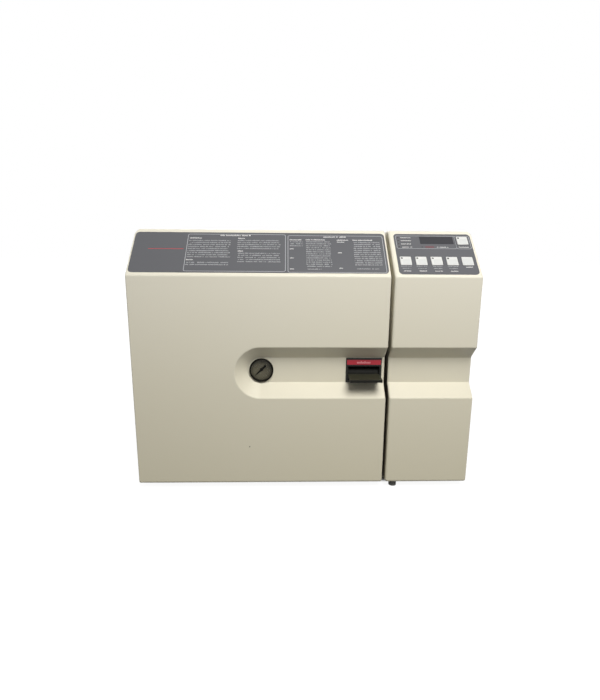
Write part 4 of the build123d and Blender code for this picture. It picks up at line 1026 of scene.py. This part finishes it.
class STERILISER_OT_controls(bpy.types.Operator):
    """Print the control label and finish its window"""

    bl_idname = "steriliser.controls"
    bl_label = "Control label"

    def execute(self, context):
        settings = context.scene.steriliser_print
        grained("dull_red_ink", srgb(104, 66, 72), 0.5, cloud=0.06, grain=0.1)
        glass_finish("smoked_window", srgb(56, 56, 60), 0.2, 1.0)
        dress("grey_label", "control_overlay")
        dress("smoked_window", "display_window")
        printer = Printer(settings, SLOPE, LABEL_TOP)

        # Left end, right end and height of the row in millimetres, seed, scale and gaps
        captions = [
            (144, 159, 77.6, 403, 0.85, 0.08),
            (144, 159, 71.4, 406, 0.85, 0.08),
            (144, 159, 64.4, 409, 0.85, 0.08),
            (144, 159, 58.1, 412, 0.85, 0.08),
            (196, 213.3, 58.2, 431, 0.85, 0.12),
            (230, 244.6, 58.6, 433, 0.8, 0.05),
            (233, 242.3, 18.6, 435, 0.85, 0.0),
        ]
        fine = []
        first_key = 138.2
        key_pitch = 22.75
        first_seed = 417
        seed_step = 5
        for key in range(4):
            left = first_key + key_pitch * key
            seed = first_seed + seed_step * key
            fine.append((left, left + 15.6, 19.9, seed))
            fine.append((left + 1.5, left + 14.2, 15.6, seed + 1))
            captions.append((left + 3, left + 13, 10.6, seed + 2, 0.85, 0.1))
        white = [printer.caption("white_ink", *caption) for caption in captions]
        dim = [printer.rows("pale_ink", *row, height=0.75) for row in fine]

        # Left, right, lower and upper edge and corner radius in millimetres
        outlines = ((136.5, 226.6, 54.8, 81.6, 3.0), (226.0, 248.6, 54.8, 81.6, 3.0))
        patch = (179.2, 192.5, 56.4, 60.2, 0.4)
        line_share = 0.8
        lines = [slope_outline(*edges, settings.outline * line_share) for edges in outlines]
        finished(white, "control_captions", "case", "white_ink")
        finished(dim, "control_fine_print", "case", "pale_ink")
        finished(lines, "control_outlines", "case", "line_ink")
        finished([slope_plate(*patch)], "control_red_patch", "case", "dull_red_ink")
        return {"FINISHED"}


class STERILISER_OT_keys(bpy.types.Operator):
    """Finish the keys and mark their inner field and lamp spot"""

    bl_idname = "steriliser.keys"
    bl_label = "Keys"

    def execute(self, context):
        grained("key_white", srgb(218, 219, 216), 0.4, cloud=0.02, grain=0.12, grain_scale=1800.0)
        grained("key_field", srgb(209, 211, 209), 0.45, cloud=0.03, grain=0.15, grain_scale=1800.0)
        grained("key_spot", srgb(44, 42, 42), 0.3, grain=0.05)

        # Left, right, lower and upper margin of the field, as shares of the key
        field_margins = (0.2, 0.08, 0.08, 0.31)
        stop_margins = (0.09, 0.07, 0.08, 0.14)
        field_corner = 0.6 * MM

        # Centre of the spot from the left and from the top, and its radius, as shares of the key
        spot_left = 0.17
        spot_down = 0.18
        spot_radius = 0.09
        keys = [f"program_key_{number}" for number in range(1, 5)] + ["stop_key", "start_key"]
        to_slope = SLOPE.inverted()
        for key in keys:
            dress("key_white", key)
            low, high = extent([to_slope @ vertex.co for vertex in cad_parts[key].data.vertices])
            size = high - low
            levels = (high.z - OVERLAP, high.z + INK)
            left, right, below, above = stop_margins
            if key != "stop_key":
                left, right, below, above = field_margins
                centre = (low.x + size.x * spot_left, high.y - size.y * spot_down)
                spot = plate_mesh(disc_points(*centre, size.x * spot_radius), *levels)
                finished([(spot, SLOPE)], f"{key}_spot", f"{key}_body", "key_spot")
            across = (low.x + size.x * left, high.x - size.x * right)
            up = (low.y + size.y * below, high.y - size.y * above)
            field = plate_mesh(rounded_points(*across, *up, field_corner), *levels)
            finished([(field, SLOPE)], f"{key}_field", f"{key}_body", "key_field")
        return {"FINISHED"}


def number_mesh(text, size, face, spot):
    """A number centred on a spot of the dial, as a mesh and its place"""
    curve = bpy.data.curves.new("number", "FONT")
    curve.body = text
    curve.size = size
    curve.align_x = "CENTER"
    curve.align_y = "CENTER"
    curve.extrude = INK_DEPTH / 2
    holder = bpy.data.objects.new("number", curve)
    bpy.context.scene.collection.objects.link(holder)
    graph = bpy.context.evaluated_depsgraph_get()
    mesh = bpy.data.meshes.new_from_object(holder.evaluated_get(graph))
    bpy.data.objects.remove(holder)
    return mesh, face @ Matrix.Translation(spot)


class STERILISER_OT_gauge(bpy.types.Operator):
    """Finish the gauge and mark its dial with ticks and numbers"""

    bl_idname = "steriliser.gauge"
    bl_label = "Pressure gauge"

    def execute(self, context):
        settings = context.scene.steriliser_gauge
        low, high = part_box("gauge_dial")
        centre = Vector(((low.x + high.x) / 2, low.y, (low.z + high.z) / 2))
        radius = (high.x - low.x) / 2
        dial_finish("dial_face", srgb(96, 92, 74), centre)
        grained("dial_ink", srgb(24, 22, 14), 0.5, grain=0.1)
        grained("needle_black", srgb(8, 7, 5), 0.6, cloud=0.1, grain=0.1, Specular_IOR_Level=0.1)
        moulded = {"cloud": 0.12, "grain": 0.12, "grain_scale": 1600.0}
        grained("bezel_black", srgb(16, 14, 7), 0.5, Specular_IOR_Level=0.12, **moulded)
        glass_finish("clear_lens", srgb(60, 60, 54), 0.04, 0.04)
        dress("dial_face", "gauge_dial")
        dress("needle_black", "gauge_needle")
        dress("bezel_black", "gauge_case")
        dress("clear_lens", "gauge_lens")
        face = Matrix.Translation(centre) @ Matrix.Rotation(QUARTER_TURN, 4, "X")
        start = QUARTER_TURN + settings.sweep / 2
        long_every = 10
        values = {
            "Count": settings.ticks,
            "Radius": radius * 0.9,
            "Start": start,
            "Sweep": -settings.sweep,
            "Long every": long_every,
            "Length": radius * 0.17,
            "Width": radius * 0.022,
            "Ink": INK_DEPTH,
        }
        ticks = tick_pattern().grow("dial_ink", values)
        lift = Matrix.Translation((0, 0, INK_MIDDLE))
        finished([(ticks, face @ lift)], "dial_ticks", "door", "dial_ink")
        numbers = []
        number_radius = radius * 0.57
        steps = (settings.ticks - 1) // long_every
        for step in range(steps + 1):
            angle = start - settings.sweep * step / steps
            spot = (math.cos(angle) * number_radius, math.sin(angle) * number_radius, INK_MIDDLE)
            numbers.append(number_mesh(str(step), settings.numeral, face, spot))
        finished(numbers, "dial_numbers", "door", "dial_ink")
        return {"FINISHED"}


class STERILISER_OT_latch(bpy.types.Operator):
    """Finish the latch and print a row of marks on its red label"""

    bl_idname = "steriliser.latch"
    bl_label = "Latch"

    def execute(self, context):
        moulded = {"cloud": 0.12, "grain_scale": 1300.0}
        grained("latch_black", srgb(24, 24, 20), 0.45, Specular_IOR_Level=0.3, **moulded)
        thumb_top = 179.8 * MM
        thumb_back = -274.6 * MM
        # Lighter olive of the painted sheen on the lever's thumb face
        painted_sheen = srgb(60, 60, 47)
        lever_finish("latch_lever_black", srgb(18, 18, 14), painted_sheen, thumb_top, thumb_back)
        grained("red_label", srgb(182, 40, 56), 0.4, grain=0.1)
        grained("pink_ink", srgb(226, 150, 156), 0.5, grain=0.1)
        dress("latch_black", "latch_pocket")
        dress("latch_lever_black", "latch_lever")
        dress("red_label", "latch_label")
        low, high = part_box("latch_label")
        middle = (low.z + high.z) / 2 / MM
        face = Matrix.Translation((0, low.y, 0)) @ Matrix.Rotation(QUARTER_TURN, 4, "X")
        printer = Printer(context.scene.steriliser_print, face, 0.0)
        caption = printer.caption("pink_ink", 80, 99, middle, 77, height=1.7, gaps=0.0)
        finished([caption], "latch_caption", "door", "pink_ink")
        return {"FINISHED"}


class STERILISER_OT_rating_plate(bpy.types.Operator):
    """Rivet a blank metal plate to the back panel"""

    bl_idname = "steriliser.rating_plate"
    bl_label = "Rating plate"

    def execute(self, context):
        steel = srgb(146, 148, 150)
        grained("satin_plate", steel, 0.32, grain=0.12, stretch=(0.03, 1, 1), Metallic=1.0)
        middle_x = -78 * MM
        middle_z = 128 * MM
        width = 80 * MM
        height = 48 * MM
        corner = 3 * MM
        thickness = 0.5 * MM
        rivet_inset = 4 * MM
        rivet_radius = 1.4 * MM
        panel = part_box("rear_panel")[1].y
        place = Matrix.Translation((middle_x, panel, middle_z))
        face = place @ Matrix.Rotation(-QUARTER_TURN, 4, "X")
        outline = rounded_points(-width / 2, width / 2, -height / 2, height / 2, corner)
        plate = plate_mesh(outline, -OVERLAP, thickness)
        finished([(plate, face)], "rating_plate", "case", "satin_plate")
        values = {
            "Length": width - 2 * rivet_inset,
            "Height": height - 2 * rivet_inset,
            "Radius": rivet_radius,
        }
        rivets = rivet_pattern().grow("satin_plate", values)
        top = face @ Matrix.Translation((0, 0, thickness))
        finished([(rivets, top)], "rating_plate_rivets", "case", "satin_plate")
        return {"FINISHED"}


class STERILISER_OT_stage(bpy.types.Operator):
    """Lay the floor, hang the lights and set up the camera"""

    bl_idname = "steriliser.stage"
    bl_label = "Stage"

    def execute(self, context):
        settings = context.scene.steriliser_stage
        floor_finish()

        # Left, right, front and back edge of the floor, in metres
        edges = (-5, 5, -4, 8)
        corner = 1.0
        thickness = 0.02
        mesh = plate_mesh(rounded_points(*edges, corner), -thickness, 0.0)
        mesh.materials.append(finishes["stage_floor"])
        floor = bpy.data.objects.new("stage_floor", mesh)
        context.scene.collection.objects.link(floor)

        # Name, place, what it is aimed at, width and power
        lamps = (
            ("light_front", (0.26, -1.08, 1.22), (0, -0.25, 0.25), 0.8, settings.front_light),
            ("light_back", (-0.3, 1.3, 1.3), (0, 0.2, 0.2), 1.0, settings.back_light),
            ("light_left", (-1.5, 0.5, 0.45), (0, 0.1, 0.15), 0.7, settings.side_light),
            ("light_right", (1.5, 0.5, 0.45), (0, 0.1, 0.15), 0.7, settings.side_light),
        )
        for lamp in lamps:
            light_from(*lamp)
        world_light(context.scene, settings.surroundings)
        set_camera(context.scene, settings.lens)
        context.scene.view_settings.view_transform = "Standard"
        return {"FINISHED"}


def seen_directly(graph):
    """1 for what the camera sees, also in metal and through glass"""
    rays = ("Is Camera Ray", "Is Glossy Ray", "Is Transmission Ray")
    straight, mirrored, through = [graph.node("ShaderNodeLightPath", out=ray) for ray in rays]
    return straight.math("MAXIMUM", mirrored).math("MAXIMUM", through)


def floor_finish():
    """Pale floor that keeps the shadow and looks white to the camera"""
    white_strength = 1.12
    near_share = 0.8
    share_per_metre = 0.1
    front_gap = 20 * MM
    edges_per_metre = 120
    graph = start_finish("stage_floor")
    seen = seen_directly(graph)
    still = graph.place()
    speckle = graph.noise(still, 30.0)
    pale = graph.mix(speckle, srgb(244, 244, 244), srgb(250, 250, 250))
    tone = graph.mix(seen, srgb(96, 96, 94), pale)
    matte = graph.node("ShaderNodeBsdfDiffuse", None, {"Color": tone})
    white = graph.node("ShaderNodeEmission", None, {"Color": (1, 1, 1), "Strength": white_strength})

    # The white is full far from the object, weaker near it and gone under its base
    far = (graph.distance(still) * share_per_metre + near_share).math("MINIMUM", 1.0)
    low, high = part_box("base_pan")
    under = 1.0
    for axis, first, last in ((0, low.x, high.x), (1, COVER_LOW.y + front_gap, high.y)):
        place = graph.split(still, axis)
        inward = (place - first).math("MINIMUM", last - place)
        under = (inward * edges_per_metre).clamped() * under
    share = far * (1 - under)
    blend = graph.node("ShaderNodeMixShader", None, {0: seen * share, 1: matte, 2: white})
    graph.node("ShaderNodeOutputMaterial", None, {"Surface": blend})


def light_from(name, place, target, size, power):
    """A round, slightly warm lamp aimed at a target"""
    lamp = bpy.data.lights.new(name, "AREA")
    lamp.shape = "DISK"
    lamp.size = size
    lamp.energy = power
    lamp.color = (1.0, 0.985, 0.96)
    holder = bpy.data.objects.new(name, lamp)
    bpy.context.scene.collection.objects.link(holder)
    holder.visible_camera = False
    holder.location = place
    away = Vector(place) - Vector(target)
    holder.rotation_euler = away.to_track_quat("Z", "Y").to_euler()


def world_light(scene, strength):
    """Even light from all round; the camera sees white"""
    world = bpy.data.worlds.new("surroundings")
    world.use_nodes = True
    world.node_tree.nodes.clear()
    graph = Graph(world.node_tree)
    seen = seen_directly(graph)
    power = seen * (1 - strength) + strength
    sky = graph.node("ShaderNodeBackground", None, {"Color": (1, 1, 1), "Strength": power})
    graph.node("ShaderNodeOutputWorld", None, {"Surface": sky})
    scene.world = world


def set_camera(scene, lens):
    """Camera before the door and level with its top, looking a little down; angles in radians"""
    place = (-28.1 * MM, -995.4 * MM, 381.05 * MM)
    pitch = 0.223
    yaw = 0.029
    roll = 0.008
    level = math.cos(pitch)
    ahead = Vector((math.sin(yaw) * level, math.cos(yaw) * level, -math.sin(pitch)))
    right = Vector((math.cos(yaw), -math.sin(yaw), 0))
    up = right.cross(ahead)
    side = right * math.cos(roll) + up * math.sin(roll)
    top = up * math.cos(roll) - right * math.sin(roll)
    turn = Matrix((side, top, -ahead)).transposed().to_4x4()
    camera = bpy.data.cameras.new("camera")
    camera.sensor_fit = "AUTO"
    camera.sensor_width = 36
    camera.lens = lens
    holder = bpy.data.objects.new("camera", camera)
    scene.collection.objects.link(holder)
    holder.matrix_world = Matrix.Translation(place) @ turn
    scene.camera = holder


OPERATORS = (
    STERILISER_OT_covers,
    STERILISER_OT_screws,
    STERILISER_OT_door_works,
    STERILISER_OT_chamber,
    STERILISER_OT_services,
    STERILISER_OT_electrics,
    STERILISER_OT_instructions,
    STERILISER_OT_controls,
    STERILISER_OT_keys,
    STERILISER_OT_gauge,
    STERILISER_OT_latch,
    STERILISER_OT_rating_plate,
    STERILISER_OT_stage,
)

SETTINGS = {
    "steriliser_covers": CoverSettings,
    "steriliser_print": PrintSettings,
    "steriliser_gauge": GaugeSettings,
    "steriliser_stage": StageSettings,
}


class STERILISER_PT_pieces(bpy.types.Panel):
    """Lists the settings and the pieces"""

    bl_label = "Steriliser"
    bl_space_type = "VIEW_3D"
    bl_region_type = "UI"
    bl_category = "Steriliser"

    def draw(self, context):
        for name, kind in SETTINGS.items():
            group = getattr(context.scene, name)
            box = self.layout.box()
            for label in kind.__annotations__:
                box.prop(group, label)
        for operator in OPERATORS:
            self.layout.operator(operator.bl_idname)


def register():
    for name, kind in SETTINGS.items():
        bpy.utils.register_class(kind)
        setattr(bpy.types.Scene, name, bpy.props.PointerProperty(type=kind))
    for operator in OPERATORS:
        bpy.utils.register_class(operator)
    bpy.utils.register_class(STERILISER_PT_pieces)


def unregister():
    bpy.utils.unregister_class(STERILISER_PT_pieces)
    for operator in reversed(OPERATORS):
        bpy.utils.unregister_class(operator)
    for name, kind in SETTINGS.items():
        delattr(bpy.types.Scene, name)
        bpy.utils.unregister_class(kind)


def main():
    register()
    for operator in OPERATORS:
        family, name = operator.bl_idname.split(".")
        getattr(getattr(bpy.ops, family), name)()


if __name__ == "__main__":
    main()
